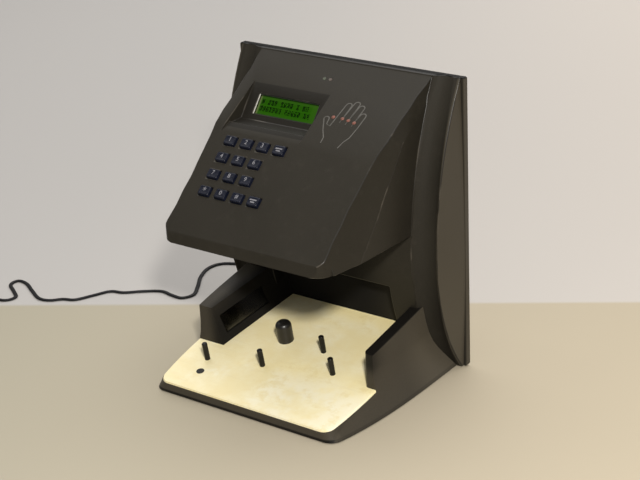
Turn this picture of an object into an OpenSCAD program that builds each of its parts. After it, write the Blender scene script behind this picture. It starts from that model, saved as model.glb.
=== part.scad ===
// Hand-reader time clock, in millimetres.
// +Z is up, +X is to the right seen from the front and the front faces -Y.
// The origin is on the table, under the middle of the clock.
// Depths are measured forward from the back of the wall plate, which yb() turns into Y.

/* [Overall] */
// Width across the wall plate and the flared wings
overall_w = 260; // [250:1:280]
// Height from the table to the top edge
overall_h = 296; // [285:1:310]
// Depth from the back of the wall plate to the front of the base
overall_d = 200; // [196:1:215]
// Height of the rubber feet
foot_h = 1.5; // [1:0.5:3]
// Wall of the mouldings
wall = 3; // [2.5:0.25:3.5]
// Clearance between pieces that fit together
fit_gap = 0.2; // [0.1:0.05:0.3]

/* [Wings and wall plate] */
// Thickness of the wall plate
plate_t = 6; // [5:0.5:7]
// Depth of the wings' front edge at its fullest
wing_d = 51.5; // [50:0.5:56]
// Height of the fullest part of the wings, as a share of the overall height
wing_share = 0.43; // [0.4:0.01:0.46]
// Depth of the wings at the top edge
wing_top_d = 6.5; // [6:0.5:9]
// Depth of the wings at the bottom edge
wing_low_d = 9; // [8:0.5:12]
// Amount each wing draws in from the wall plate to its front edge
wing_taper = 3.5; // [2:0.5:5]
// Amount the column stands forward of the wings' edges
column_step = 3.5; // [2:0.5:5]
// Half width of the head, where the hollow of the wing begins
head_half_w = 100; // [97:0.5:102]
// Depth of the hollow between the wing's edge and the head
hollow_depth = 6; // [4:0.5:7]
// How much shallower the hollow is at the top and bottom
hollow_fade = 4.5; // [4:0.1:5]
// Sideways spacing of the wall screw holes
wall_hole_x = 216; // [208:1:220]
// Upright spacing of the wall screw holes
wall_hole_z = 190; // [180:1:196]
// Diameter of the wall screw holes
wall_hole_dia = 5.5; // [4.5:0.5:6]

/* [Head] */
// Depth where the display panel begins at the top edge
panel_top_d = 9; // [8:0.5:11]
// Depth where the display panel meets the keypad panel
break_d = 95; // [92:1:98]
// Drop from the top edge to where the panels meet
break_drop = 51.5; // [49:0.5:54]
// Slope of the keypad panel below level
keypad_slope = 40.6; // [39:0.1:42]
// Depth of the crease above the front lip
crease_d = 185; // [182:1:187]
// Depth of the front lip at its lower edge
lip_d = 187.5; // [186:0.5:190]
// Drop from the top edge to the lower edge of the front lip
lip_drop = 140; // [137:0.5:143]
// Drop from the top edge to the head's underside at the column
under_drop = 145; // [143:0.5:149]
// Radius of the lower front corners in plan
head_corner_r = 15; // [10:1:18]

/* [Display] */
// Place of the display and the keypad left of the middle
console_x = -37; // [-40:0.5:-34]
// Width of the display pocket
pocket_w = 91; // [86:1:96]
// Slope of the display below level
display_slope = 50.4; // [49:0.1:52]
// Distance down the panel to the pocket's upper edge
pocket_top = 42; // [40:0.5:44]
// Length of the pocket's sloping floor
pocket_floor = 40; // [38:0.5:42]
// Depth of the chamfered ledge below the display
ledge_depth = 3; // [2:0.5:4]
// Distance down the keypad panel to the ledge's lower edge
ledge_low = 7.5; // [6:0.5:8]
// Visible width of the display
glass_w = 71.5; // [66:0.5:74]
// Visible height of the display
glass_h = 21; // [18:0.5:22]
// Distance down the pocket floor to the display's middle
glass_mid = 23; // [22:0.2:25]

/* [Keys] */
// Width of a key
key_w = 12.5; // [11:0.5:14]
// Height of a key up the panel
key_h = 9.5; // [8:0.5:11]
// Sideways pitch of the keys
key_pitch_x = 19.2; // [17:0.1:20]
// Pitch of the keys up the panel
key_pitch_y = 18.6; // [17:0.1:19.5]
// Distance down the keypad panel to the first row
first_row = 16.4; // [15.5:0.1:18]
// Height of the keys above the panel
key_proud = 2.6; // [2:0.1:3.5]
// Travel of a key
key_travel = 1.2; // [0.8:0.1:1.5]
// Gap round a key
key_gap = 0.4; // [0.3:0.05:0.6]

/* [Base and platen] */
// Half width of the base above its flare
base_half = 105; // [103:0.5:107]
// Radius of the flare along the foot of the base
flare_r = 70; // [60:1:80]
// Height where the flare begins
flare_z = 45; // [40:1:50]
// Radius of the front corners
base_corner_r = 12; // [8:0.5:16]
// Height of the platen's top at the front edge
platen_front_z = 12.5; // [12:0.5:15]
// Rise of the platen to the back, in degrees
platen_tilt = 10; // [9:0.25:11]
// Thickness of the platen sheet
platen_t = 2; // [1.5:0.25:2.5]
// Depth of the front of the side cheeks
cheek_d = 129; // [122:1:134]
// Height of the right cheek above the platen
right_cheek_h = 35; // [32:0.5:38]
// Height of the left cheek above the platen
left_cheek_h = 37.5; // [34:0.5:40]
// Place of the right cheek's inner face
right_cheek_x = 93; // [91:0.5:96]
// Place of the left cheek's inner face at the platen, at its front
left_cheek_x = -76; // [-80:0.5:-73]
// Lean of the left cheek's inner face from upright
left_cheek_lean = 17.2; // [14:0.2:20]
// Turn of the left cheek's inner face from front to back
left_cheek_turn = 9.6; // [6:0.2:12]
// Half width of the finger recess in the column
recess_half = 72; // [66:1:74]
// Height of the top of the finger recess
recess_z = 92; // [88:1:98]
// Depth of the back of the finger recess
recess_d = 27; // [25:0.5:30]

/* [Pins] */
// Diameter of the finger pins
pin_dia = 5.5; // [4:0.5:7]
// Height of the finger pins above the platen
pin_h = 19; // [15:0.5:22]
// Diameter of the web pin
web_pin_dia = 16; // [12:0.5:18]
// Height of the web pin above the platen
web_pin_h = 22; // [18:0.5:25]

/* [Cord] */
// Width of the flat lead
cord_w = 4.4; // [4:0.1:5]
// Thickness of the flat lead
cord_t = 2.4; // [2:0.1:2.6]
// Radius of the outer turn of the coiled length
coil_r = 29; // [27:0.5:31]
// Turns in each of the coil's two layers
coil_turns = 3; // [2:1:4]
// Length of the plug pack
pack_l = 72; // [64:1:80]
// Width of the plug pack
pack_w = 50; // [44:1:56]
// Height of the plug pack
pack_h = 42; // [38:1:48]

/* [Hidden] */
$fn = 48;
// How far a cutting shape reaches past the face it cuts
past = 1;
function yb(d) = overall_d / 2 - d;
function platen_z(d) = platen_front_z + (overall_d - d) * tan(platen_tilt);
// Radius of an arc that falls back by sag over a rise from its fullest point
function arc_r(rise, sag) = (rise * rise + sag * sag) / (2 * sag);
// Point that lies a wall inside the corner of two slopes, given below level
function inset_corner(p, a, b, w) = p - w / cos((b - a) / 2) * [sin((a + b) / 2), cos((a + b) / 2)];

// Wings: two arcs that meet at the fullest point, one to the top edge and one to the bottom edge
wing_z = overall_h * wing_share;
upper_r = arc_r(overall_h - wing_z, wing_d - wing_top_d);
lower_r = arc_r(wing_z - foot_h, wing_d - wing_low_d);
// The hollows fall back less than the wings do, so that they are shallow at the ends
hollow_lap = 0.01;
hollow_upper_r = arc_r(overall_h - wing_z, wing_d - wing_top_d - hollow_fade);
hollow_lower_r = arc_r(wing_z - foot_h, wing_d - wing_low_d - hollow_fade);
function wing_front(z) =
    let (r = z > wing_z ? upper_r : lower_r)
    wing_d - r + sqrt(r * r - (z - wing_z) * (z - wing_z));
wing_edge = overall_w / 2 - wing_taper;
// The hollow's circle passes through the wing's edge and the column's edge
hollow_chord = [column_step, head_half_w - wing_edge];
hollow_half = norm(hollow_chord) / 2;
hollow_r = arc_r(hollow_half, hollow_depth);
hollow_centre = [column_step, head_half_w + wing_edge] / 2
    + (hollow_r - hollow_depth) / (2 * hollow_half) * [-hollow_chord[1], hollow_chord[0]];

// Head profile
break_z = overall_h - break_drop;
lip_z = overall_h - lip_drop;
under_z = overall_h - under_drop;
panel_slope = atan(break_drop / (break_d - panel_top_d));
crease_z = break_z - (crease_d - break_d) * tan(keypad_slope);
lip_slope = atan((crease_z - lip_z) / (lip_d - crease_d));
column_front = wing_front(under_z) + column_step;
head_toe = 6;
head_heel = 20;
lip_half_w = head_half_w - 6.5;
floor_t = 3;
function floor_low(d) = under_z + (lip_z - under_z) * (d - column_front) / (lip_d - column_front);
function floor_top(d) = floor_low(d) + floor_t;
// Stations of the side facets: depth and drop of the crease, then lean, depth and drop of the panel's edge
facet_rows = [
    [4, 6, 0.5, 9, 0], [13, 18, 1.5, 21, 7.2], [41, 35, 3.4, 48, 23.4], [62, 49, 4.7, 70, 36.5],
    [78, 69, 6, 95, 51.5], [94, 88, 8, 116, 69.5], [109, 109, 9.5, 140, 90.1], [128, 131, 9.5, 165, 111.5],
    [140, 146, 9, 186, 129], [165, 154, 6, 198, 142]
];
facet_from = -0.15;
facet_to = 2.2;
function facet_point(row, t, inset) = [
    head_half_w - inset - row[2] * t,
    yb(row[0] + (row[3] - row[0]) * t),
    overall_h - row[1] - (row[4] - row[1]) * t
];

// Display pocket, as [depth, height] points
pocket_high = [panel_top_d + pocket_top * cos(panel_slope), overall_h - pocket_top * sin(panel_slope)];
pocket_deep = pocket_high + pocket_floor * [cos(display_slope), -sin(display_slope)];
brow_back = 6;
brow = [
    break_d - brow_back - ledge_depth * sin(panel_slope),
    break_z + brow_back * tan(panel_slope) - ledge_depth
];
glass_shift = 1.6;
window_t = 1.6;
window_rim = 2;
module_t = 6;
module_rim = 3;
lamp_xs = [-9, -2];
lamp_y = 26;
lamp_r = 1.8;
lamp_rim = 0.6;
lamp_back = 2;

// Keypad stack, measured down from the panel's face
flange_top = wall + 0.3;
flange_t = 1.3;
flange_lip = 1;
key_corner_r = 1.2;
key_foot = flange_top + flange_t;
dome_gap = 0.3;
dome_h = 0.5;
dome_r = 3.5;
mat_t = 1;
board_t = 1.6;
board_top = key_foot + key_travel + dome_gap + dome_h + mat_t;
keypad_post_r = 3;
board_w = 3 * key_pitch_x + key_w + 16;
board_h = 3 * key_pitch_y + key_h + 14;
function key_x(col) = console_x + (col - 1.5) * key_pitch_x;
function key_y(row) = -first_row - row * key_pitch_y;
keypad_mid_y = -first_row - 1.5 * key_pitch_y;

// Base: an outline in plan that draws in to the front, made larger level by level towards the foot
draw_in_d = 60;
draw_in = 0.0000046;
body_top = 130;
body_levels = [foot_h - past, 6, 11, 17, 24, 33, flare_z, body_top];
function side_x(d) = base_half - draw_in * pow(max(d - draw_in_d, 0), 3);
function flare(z) =
    z > flare_z ? 1 : 1 + (flare_r - sqrt(flare_r * flare_r - pow(flare_z - z, 2))) / base_half;
corner_angle = 13;
corner_d = overall_d - base_corner_r;
corner_side_d = corner_d + base_corner_r * sin(corner_angle);
corner_x = side_x(corner_side_d) - base_corner_r * cos(corner_angle);
// Right half of the outline, from the front to the back, as points from the front's middle
function base_half_outline(inset) = concat(
    [for (a = [90:-11:corner_angle])
        [corner_x + (base_corner_r - inset) * cos(a), base_corner_r - (base_corner_r - inset) * sin(a)]],
    [for (i = [0:9])
        let (d = corner_side_d - i * (corner_side_d - draw_in_d) / 9) [side_x(d) - inset, overall_d - d]],
    [[base_half - inset, overall_d]]
);
sheet_inset = 0.6;
cheek_nose_r = 5;
cheek_floor = 6;
pin_places = [[-76, 154], [-18, 141], [25, 99], [54, 125]];
web_place = [-22, 97];
plug_place = [-70, overall_d - 27];
plug_r = 4;
plug_cap_t = 0.6;
pin_boss_l = 14;
pin_hole_l = 10;
pin_spigot_l = 9;
pin_dome = 1.2;
web_dome = 5;
foot_r = 7;
feet_places = [[-90, overall_d - 16], [90, overall_d - 16], [-102, 31], [102, 31]];
cover_t = 2.5;
mirror_len = 62;
mirror_h = 20;
mirror_t = 2;
mirror_sunk = 2;
mirror_back = 10;
mirror_lift = 8;

// Optics in the head
optics_d = 112;
optics_w = 74;
optics_l = 54;
optics_rim = 2;
optics_glass_t = 1.6;
optics_board_w = 92;
ir_board_l = 68;
camera_board_l = 44;
optics_post_r = 2.5;
optics_post_x = 42;
ir_post_y = 30;
camera_post_y = 18;
ir_board_z = under_z + 15;
camera_z = under_z + 31;
lens_r = 7;
lens_l = 18;
lens_mount_t = 6;
led_r = 2.5;
led_l = 4;
led_x = 22;
led_pitch = 11;

// Rear compartment
board_post = 9;
board_post_r = 2.5;
board_post_in = 6;
main_w = 170;
main_h = 120;
main_gap = 17;
main_z = recess_z + wall + main_gap + main_h / 2;
main_front = plate_t + board_post + board_t;
jack_x = 46 - overall_w / 2;
jack_z = 36;
jack_r = 5.5;
jack_body = 10;
jack_bore_r = 2.8;
plug_tip = 9;
plug_grip = 14;
plug_neck = 17;
plug_grip_r = 5;
entry_w = 44;
entry_h = 14;
entry_z = 76;
cell_r = 7.2;
cell_l = 44;
cell_x = 34;
cell_z = 46;
cell_pitch = 17;
sounder_r = 11;
sounder_t = 7;
sounder_x = 60;
sounder_drop = 30;
sounder_port_r = 2;
terminal_size = [60, 10, 11];
terminal_pitch = 6;
terminal_lift = 4;
terminal_port = [3.6, 7, 4];

// Screws
screw_r = 1.6;
head_r = 3;
screw_head_t = 2;
screw_slack = 0.2;
boss_r = 4.5;
plate_boss_l = 10;
plate_corner_r = 2;
plate_screw_x = overall_w / 2 - wall - boss_r - 0.5;
plate_screw_low = 34;
plate_screw_drop = 60;
plate_screw_zs = [plate_screw_low, overall_h - plate_screw_drop];
plate_screw_places = [for (s = [-1, 1], z = plate_screw_zs) [s * plate_screw_x, z]];
base_screw_l = 10;
base_screw_places = [[-58, overall_d - 22], [58, overall_d - 22], [-84, 84], [84, 84]];
floor_screw_l = 11;
floor_screw_places = [for (s = [-1, 1], p = [[14, 84], [20, 158]]) [s * (head_half_w - p[0]), p[1]]];

// Lead: the free stretch starts at the plug behind the plate and ends at the coil
plug_len = 26;
cord_exit_y = yb(0) + plug_len;
coil_x = -450;
coil_y = -68;
coil_lift = 1;
turn_gap = 1.8;
layer_gap = 1.5;
coil_step = cord_t + turn_gap;
coil_layer = cord_w + layer_gap;
lay_z = cord_t / 2 + 0.1;
cord_route = [
    [jack_x, cord_exit_y, jack_z],
    [jack_x, cord_exit_y + 6, jack_z],
    [-92, 146, 24],
    [-110, 160, 10],
    [-135, 168, 3],
    [-165, 172, lay_z],
    [-195, 175, lay_z],
    [-222, 176, lay_z],
    [-240, 166, lay_z],
    [-244, 148, lay_z],
    [-236, 126, lay_z],
    [-222, 104, lay_z],
    [-213, 86, lay_z],
    [-219, 73, lay_z],
    [-234, 73, lay_z],
    [-250, 75, lay_z],
    [-268, 64, lay_z],
    [-284, 51, lay_z],
    [-299, 46, lay_z],
    [-308, 29, lay_z],
    [-318, 10, lay_z],
    [-331, 4, lay_z],
    [-342, -6, lay_z],
    [-356, -8, lay_z],
    [-376, 2, lay_z],
    [-396, 13, lay_z],
    [-410, 14, lay_z],
    [-410, 2, lay_z],
    [-394, -9, lay_z],
    [-381, -19, lay_z],
    [-385, -31, lay_z],
    [-402, -36, lay_z + 1],
    [-426, coil_y + coil_r, coil_lift + cord_w / 2],
    [coil_x, coil_y + coil_r, coil_lift + cord_w / 2]
];

// Smooth line through the route's points
function catmull(a, b, c, e, t) =
    0.5 * ((2 * b) + (c - a) * t + (2 * a - 5 * b + 4 * c - e) * t * t + (3 * b - a - 3 * c + e) * t * t * t);
function at(points, i) = points[min(max(i, 0), len(points) - 1)];
function smooth(points, steps) = concat(
    [for (i = [0:len(points) - 2], k = [0:steps - 1])
        catmull(at(points, i - 1), at(points, i), at(points, i + 1), at(points, i + 2), k / steps)],
    [points[len(points) - 1]]
);
cord_points = smooth(cord_route, 2);
cord_roll_start = len(cord_points) - 5;
cord_rolls = [for (i = [0:len(cord_points) - 1]) 90 * min(max((i - cord_roll_start) / 4, 0), 1)];

// Coiled length: in by one turn step each turn on the table, half a turn to climb, and out again on top
coil_rings = 24;
coil_total = 2 * coil_turns + 1;
function coil_at(n) =
    let (
        inward = min(n, coil_turns + 0.25),
        outward = max(n - coil_turns - 0.25, 0),
        climb = min(max((n - coil_turns) / 0.5, 0), 1),
        r = coil_r - coil_step * inward + coil_step * outward,
        angle = 90 + 360 * n
    )
    [coil_x + r * cos(angle), coil_y + r * sin(angle), coil_lift + cord_w / 2 + coil_layer * climb];
coil_last = coil_at(coil_total);
coil_points = concat(
    [for (i = [0:coil_total * coil_rings]) coil_at(i / coil_rings)],
    [coil_last - [cord_w, 0, 0]]
);
coil_rolls = [for (p = coil_points) 90];
coil_gaps = [for (i = [0:len(coil_points) - 1], j = [0:len(coil_points) - 1])
    if (j > i + coil_rings / 2)
        let (v = coil_points[j] - coil_points[i], flat = norm([v[0], v[1]]), high = abs(v[2]))
        max(flat - cord_t, high - cord_w)];
echo(least_gap_between_turns = min(coil_gaps));
tie_w = 7;
tie_t = 0.7;
tie_gap = 0.3;
coil_in = coil_r - coil_step * (coil_turns + 0.25) - cord_t / 2;
coil_out = coil_r - coil_step / 4 + cord_t / 2;
pack_x = coil_last[0] - cord_w;
pack_corner_r = 6;
relief_len = 16;
relief_r = 3.6;
relief_tip_r = 2.8;
blade_w = 6.4;
blade_l = 17;
blade_t = 1.5;
blade_pitch = 12.7;

key_names = [
    "key_1", "key_2", "key_3", "key_clear", "key_4", "key_5", "key_6", "key_7", "key_8", "key_9",
    "key_star", "key_0", "key_hash", "key_enter"
];
key_spots = [
    [0, 0], [1, 0], [2, 0], [3, 0], [0, 1], [1, 1], [2, 1], [0, 2], [1, 2], [2, 2],
    [0, 3], [1, 3], [2, 3], [3, 3]
];

shell_grey = [0.36, 0.35, 0.32];
dark_grey = [0.2, 0.2, 0.21];
board_green = [0.1, 0.35, 0.2];
plated = [0.7, 0.7, 0.72];
cream = [0.94, 0.9, 0.74];
lead_black = [0.08, 0.08, 0.09];

// Extrudes a side profile of [depth, height] points across the width, from x0 to x1
module across(x0, x1, points)
    translate([x0, 0, 0])
        rotate([90, 0, 90])
            linear_extrude(x1 - x0)
                polygon([for (p = points) [yb(p[0]), p[1]]]);

// Frames that lie on the sloping panels: local Z points out of the panel, local Y up the slope
module on_panel()
    translate([0, yb(panel_top_d), overall_h]) rotate([panel_slope, 0, 0]) children();

module on_keypad()
    translate([0, yb(break_d), break_z]) rotate([keypad_slope, 0, 0]) children();

module on_display()
    on_panel()
        translate([console_x, -pocket_top, 0]) rotate([display_slope - panel_slope, 0, 0]) children();

// Middle of the display's window on the back of the pocket's floor
module on_window()
    on_display() translate([glass_shift, -glass_mid, -wall]) children();

module on_platen(x, d)
    translate([x, yb(d), platen_z(d)]) rotate([platen_tilt, 0, 0]) children();

// Frame on the left cheek's inner face: local X points out of the face, local Y to the back
module on_left_cheek()
    translate([left_cheek_x, yb(cheek_d), platen_z(cheek_d)])
        rotate([0, -left_cheek_lean, -left_cheek_turn])
            children();

module on_mirror()
    on_left_cheek() rotate([platen_tilt, 0, 0]) translate([0, mirror_back, mirror_lift]) children();

// Along a line that runs forward from the back of the wall plate
module from_back(x, d, z)
    translate([x, yb(d), z]) rotate([90, 0, 0]) children();

module rounded_rect(w, h, r) {
    square([w - 2 * r, h], center = true);
    square([w, h - 2 * r], center = true);
    for (sx = [-1, 1], sy = [-1, 1])
        translate([sx * (w / 2 - r), sy * (h / 2 - r)]) circle(r);
}

// Turns a section about a level axis behind the clock, between two heights.
// The section's X is 0 at the wings' front edge and its Y runs across the clock.
module turned(r, low, high)
    intersection() {
        translate([0, yb(wing_d) + r, wing_z])
            rotate([0, 90, 0])
                rotate_extrude($fn = 240)
                    translate([r, 0])
                        children();
        translate([-overall_w, yb(2 * wing_d), low])
            cube([2 * overall_w, 2 * wing_d - plate_t, high - low]);
    }

module wing_sweep(low, high) {
    turned(upper_r, wing_z, high) children();
    turned(lower_r, low, wing_z) children();
}

module wing_section(grow) {
    back = wing_d + wing_taper;
    back_half = wing_edge + wing_taper / wing_d * back;
    polygon([
        [-back, -back_half - grow], [grow, -wing_edge - grow], [column_step + grow, -head_half_w],
        [column_step + grow, head_half_w], [grow, wing_edge + grow], [-back, back_half + grow]
    ]);
}

// Hollow faces of the wings, which run out towards both ends
module wing_hollows(grow) {
    turned(hollow_upper_r, wing_z, overall_h + past) hollow_circles(grow);
    turned(hollow_lower_r, foot_h - past, wing_z + hollow_lap) hollow_circles(grow);
}

module hollow_circles(grow)
    for (s = [-1, 1])
        translate([hollow_centre[0], s * hollow_centre[1]]) circle(hollow_r - grow, $fn = 96);

// Column and wings
module wing_form(grow)
    difference() {
        wing_sweep(foot_h, overall_h) wing_section(grow);
        wing_hollows(grow);
    }

// Column and wings without the finger recess
module column_form(grow)
    difference() {
        wing_form(grow);
        finger_recess(-grow);
    }

// Side facets of the head, as the material to take away outside a ruled strip with a curved crease
module side_facets(inset) {
    far_x = head_half_w + 30;
    verts = [for (row = facet_rows) each
        let (near = facet_point(row, facet_from, inset), far = facet_point(row, facet_to, inset))
        [near, far, [far_x, far[1], far[2]], [far_x, near[1], near[2]]]];
    last = len(verts) - 4;
    faces = concat(
        [[0, 3, 2, 1], [last, last + 1, last + 2, last + 3]],
        [for (i = [0:4:last - 4]) each [
            [i, i + 1, i + 5], [i, i + 5, i + 4], [i + 1, i + 2, i + 6, i + 5],
            [i + 2, i + 3, i + 7, i + 6], [i + 3, i, i + 4, i + 7]
        ]]
    );
    for (s = [0, 1]) mirror([s, 0, 0]) polyhedron(verts, faces);
}

module head_plan(inset) {
    r = head_corner_r - inset;
    front = lip_d - inset;
    centre = lip_half_w - head_corner_r;
    translate([-head_half_w + inset, yb(lip_d - head_corner_r)])
        square([2 * (head_half_w - inset), lip_d]);
    translate([-centre, yb(front)]) square([2 * centre, front]);
    for (s = [-1, 1]) translate([s * centre, yb(lip_d - head_corner_r)]) circle(r);
}

module head_form()
    difference() {
        intersection() {
            across(-head_half_w, head_half_w, [
                [panel_top_d, overall_h], [break_d, break_z], [crease_d, crease_z], [lip_d, lip_z],
                [column_front, under_z], [plate_t + head_toe, under_z], [plate_t, under_z + head_heel],
                [plate_t, overall_h]
            ]);
            translate([0, 0, under_z - past]) linear_extrude(overall_h) head_plan(0);
        }
        side_facets(0);
    }

// Room inside the head, open below for the floor and behind for the column
module head_room() {
    back = plate_t + head_toe + 2;
    step_z = under_z + floor_t + 4;
    low_z = under_z - 2 * wall;
    top = [back, overall_h - wall / cos(panel_slope) - (back - panel_top_d) * tan(panel_slope)];
    bend = inset_corner([break_d, break_z], panel_slope, keypad_slope, wall);
    nose = inset_corner([crease_d, crease_z], keypad_slope, lip_slope, wall);
    difference() {
        intersection() {
            across(-head_half_w + wall, head_half_w - wall, [
                top, bend, nose, [lip_d - wall, low_z], [column_front + wall, low_z],
                [column_front + wall, step_z], [back, step_z]
            ]);
            translate([0, 0, low_z]) linear_extrude(overall_h) head_plan(wall);
        }
        side_facets(wall);
    }
}

// Display pocket: a floor that dips into the panel and a chamfered ledge below it
module pocket_cut() {
    ledge = [break_d + ledge_low * cos(keypad_slope), break_z - ledge_low * sin(keypad_slope)];
    across(console_x - pocket_w / 2, console_x + pocket_w / 2, [
        pocket_high, pocket_deep, [brow[0], pocket_deep[1]], brow, ledge, ledge + [10, 20],
        pocket_high + [40, 40]
    ]);
}

module pocket_wall() {
    back = [0, wall / cos(display_slope)];
    across(console_x - pocket_w / 2 - wall, console_x + pocket_w / 2 + wall, [
        pocket_high - back, pocket_deep - back, [break_d + brow_back, pocket_deep[1] - back[1]],
        [break_d + brow_back, break_z - brow_back], [break_d, break_z - 1], pocket_high - [0, 1]
    ]);
}

module keypad_posts()
    for (sx = [-1, 1], sy = [-1, 1])
        translate([
            console_x + sx * (board_w / 2 - keypad_post_r - 0.5),
            keypad_mid_y + sy * (board_h / 2 - keypad_post_r - 0.5),
            -board_top
        ])
            cylinder(board_top - wall / 2, keypad_post_r, keypad_post_r);

module finger_recess(grow)
    translate([-recess_half - grow, yb(2 * wing_d), -past])
        cube([2 * (recess_half + grow), 2 * wing_d - recess_d + grow, recess_z + grow + past]);

// Room inside the column and wings, open at the back
module column_room() {
    back = wing_d + wing_taper;
    wing_half = wing_edge - wall;
    column_half = head_half_w - wall;
    wing_face = column_step / 2 - hollow_depth - wall;
    column_face = column_step - wall;
    difference() {
        translate([0, past, 0])
            wing_sweep(foot_h + wall, overall_h - wall)
                polygon([
                    [-back, -wing_half], [wing_face, -wing_half], [wing_face, -column_half],
                    [column_face, -column_half], [column_face, column_half], [wing_face, column_half],
                    [wing_face, wing_half], [-back, wing_half]
                ]);
        finger_recess(wall);
    }
}

module front_housing()
    color(shell_grey)
        difference() {
            union() {
                difference() {
                    union() {
                        wing_form(0);
                        head_form();
                    }
                    column_room();
                    head_room();
                }
                pocket_wall();
                for (p = plate_screw_places)
                    from_back(p[0], plate_t, p[1]) cylinder(plate_boss_l, boss_r, boss_r);
                for (p = floor_screw_places)
                    intersection() {
                        translate([p[0], yb(p[1]), floor_top(p[1] + boss_r)])
                            cylinder(overall_h, boss_r, boss_r);
                        head_form();
                    }
                on_keypad() keypad_posts();
            }
            pocket_cut();
            on_window() {
                linear_extrude(2 * wall) square([glass_w, glass_h], center = true);
                translate([0, 0, -past])
                    linear_extrude(past + window_t + fit_gap)
                        square([glass_w + 2 * window_rim, glass_h + 2 * window_rim], center = true);
            }
            on_keypad()
                for (s = key_spots)
                    translate([key_x(s[0]), key_y(s[1]), -wall - past])
                        linear_extrude(wall + 2 * past)
                            square([key_w + 2 * key_gap, key_h + 2 * key_gap], center = true);
            on_panel()
                for (x = lamp_xs)
                    translate([x, -lamp_y, -2 * wall]) cylinder(3 * wall, lamp_r + fit_gap, lamp_r + fit_gap);
            for (p = plate_screw_places)
                from_back(p[0], plate_t - past, p[1]) cylinder(plate_boss_l - past, screw_r, screw_r);
            for (p = floor_screw_places)
                translate([p[0], yb(p[1]), floor_top(p[1]) - past]) cylinder(floor_screw_l, screw_r, screw_r);
            finger_recess(0);
        }

module main_posts()
    for (sx = [-1, 1], sz = [-1, 1])
        translate([sx * (main_w / 2 - board_post_in), 0, main_z + sz * (main_h / 2 - board_post_in)])
            from_back(0, plate_t - past, 0) cylinder(board_post + past, board_post_r, board_post_r);

module wall_plate()
    color(shell_grey)
        difference() {
            union() {
                from_back(0, 0, (overall_h + foot_h) / 2)
                    linear_extrude(plate_t) rounded_rect(overall_w, overall_h - foot_h, plate_corner_r);
                main_posts();
            }
            for (sx = [-1, 1], sz = [-1, 1])
                from_back(sx * wall_hole_x / 2, -past, (overall_h + sz * wall_hole_z) / 2)
                    cylinder(plate_t + 2 * past, wall_hole_dia / 2, wall_hole_dia / 2);
            for (p = plate_screw_places)
                from_back(p[0], -past, p[1]) {
                    cylinder(plate_t + 2 * past, screw_r + screw_slack, screw_r + screw_slack);
                    cylinder(past + 0.5 + screw_head_t, head_r + screw_slack, head_r + screw_slack);
                }
            translate([-entry_w / 2, yb(plate_t + past), entry_z - entry_h / 2])
                cube([entry_w, plate_t + 2 * past, entry_h]);
            from_back(jack_x, -past, jack_z)
                cylinder(plate_t + 2 * past, jack_r + fit_gap, jack_r + fit_gap);
        }

// Posts on the head floor that carry a board, at its four corners
module optics_posts(top_z, half_l) {
    foot_z = floor_low(optics_d) + floor_t / 3;
    for (sx = [-1, 1], sy = [-1, 1])
        translate([sx * optics_post_x, yb(optics_d) + sy * half_l, foot_z])
            cylinder(top_z - foot_z, optics_post_r, optics_post_r);
}

module head_floor()
    color(shell_grey)
        difference() {
            union() {
                intersection() {
                    across(-head_half_w, head_half_w, [
                        [column_front + wall + fit_gap, floor_low(column_front + wall)],
                        [crease_d - wall, floor_low(crease_d - wall)],
                        [crease_d - wall, floor_top(crease_d - wall)],
                        [column_front + wall + fit_gap, floor_top(column_front + wall)]
                    ]);
                    difference() {
                        translate([0, 0, under_z - wall]) linear_extrude(lip_drop) head_plan(wall + fit_gap);
                        side_facets(wall + fit_gap);
                    }
                }
                optics_posts(ir_board_z, ir_post_y);
                optics_posts(camera_z, camera_post_y);
            }
            translate([-optics_w / 2, yb(optics_d + optics_l / 2), under_z - past])
                cube([optics_w, optics_l, floor_top(optics_d) - under_z + past]);
            translate([-optics_w / 2, yb(optics_d + optics_l / 2), floor_top(optics_d) - optics_glass_t])
                translate([-optics_rim, -optics_rim, 0])
                    cube([optics_w + 2 * optics_rim, optics_l + 2 * optics_rim, 2 * floor_t]);
            for (p = floor_screw_places)
                translate([p[0], yb(p[1]), floor_low(p[1]) - wall]) {
                    cylinder(3 * wall, screw_r + screw_slack, screw_r + screw_slack);
                    cylinder(wall + screw_head_t - past, head_r + screw_slack, head_r + screw_slack);
                }
        }

// Body of the base: the outline at each level, larger towards the foot
module base_body(inset) {
    half = base_half_outline(inset);
    count = len(half);
    ring = concat([for (p = half) p], [for (i = [count - 1:-1:0]) [-half[i][0], half[i][1]]]);
    n = len(ring);
    last = (len(body_levels) - 1) * n;
    verts = [for (z = body_levels, p = ring) [p[0] * flare(z), yb(overall_d) + p[1] * flare(z), z]];
    sheet = [for (k = [0:n - 1]) k];
    faces = concat(
        [sheet, [for (k = [n - 1:-1:0]) last + k]],
        [for (i = [0:len(body_levels) - 2], k = [0:n - 1])
            let (a = i * n + k, b = i * n + (k + 1) % n)
            [a, a + n, b + n, b]]
    );
    polyhedron(verts, faces);
}

// Wedge under the platen, a drop below the platen's underside
module base_wedge(inset, drop, low_z)
    intersection() {
        base_body(inset);
        across(-overall_w, overall_w, [
            [plate_t + fit_gap, low_z], [overall_d + past, low_z],
            [overall_d + past, platen_z(overall_d + past) - platen_t - drop],
            [plate_t + fit_gap, platen_z(plate_t + fit_gap) - platen_t - drop]
        ]);
    }

module base_room()
    difference() {
        base_wedge(wall, wall, 0);
        column_form(wall + fit_gap);
    }

module cheek_profile(x0, x1, h, grow)
    across(x0, x1, [
        [cheek_d + grow, foot_h], [cheek_d + grow, platen_z(cheek_d) + h + grow],
        [plate_t + fit_gap, platen_z(plate_t) + h + grow], [plate_t + fit_gap, foot_h]
    ]);

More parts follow.
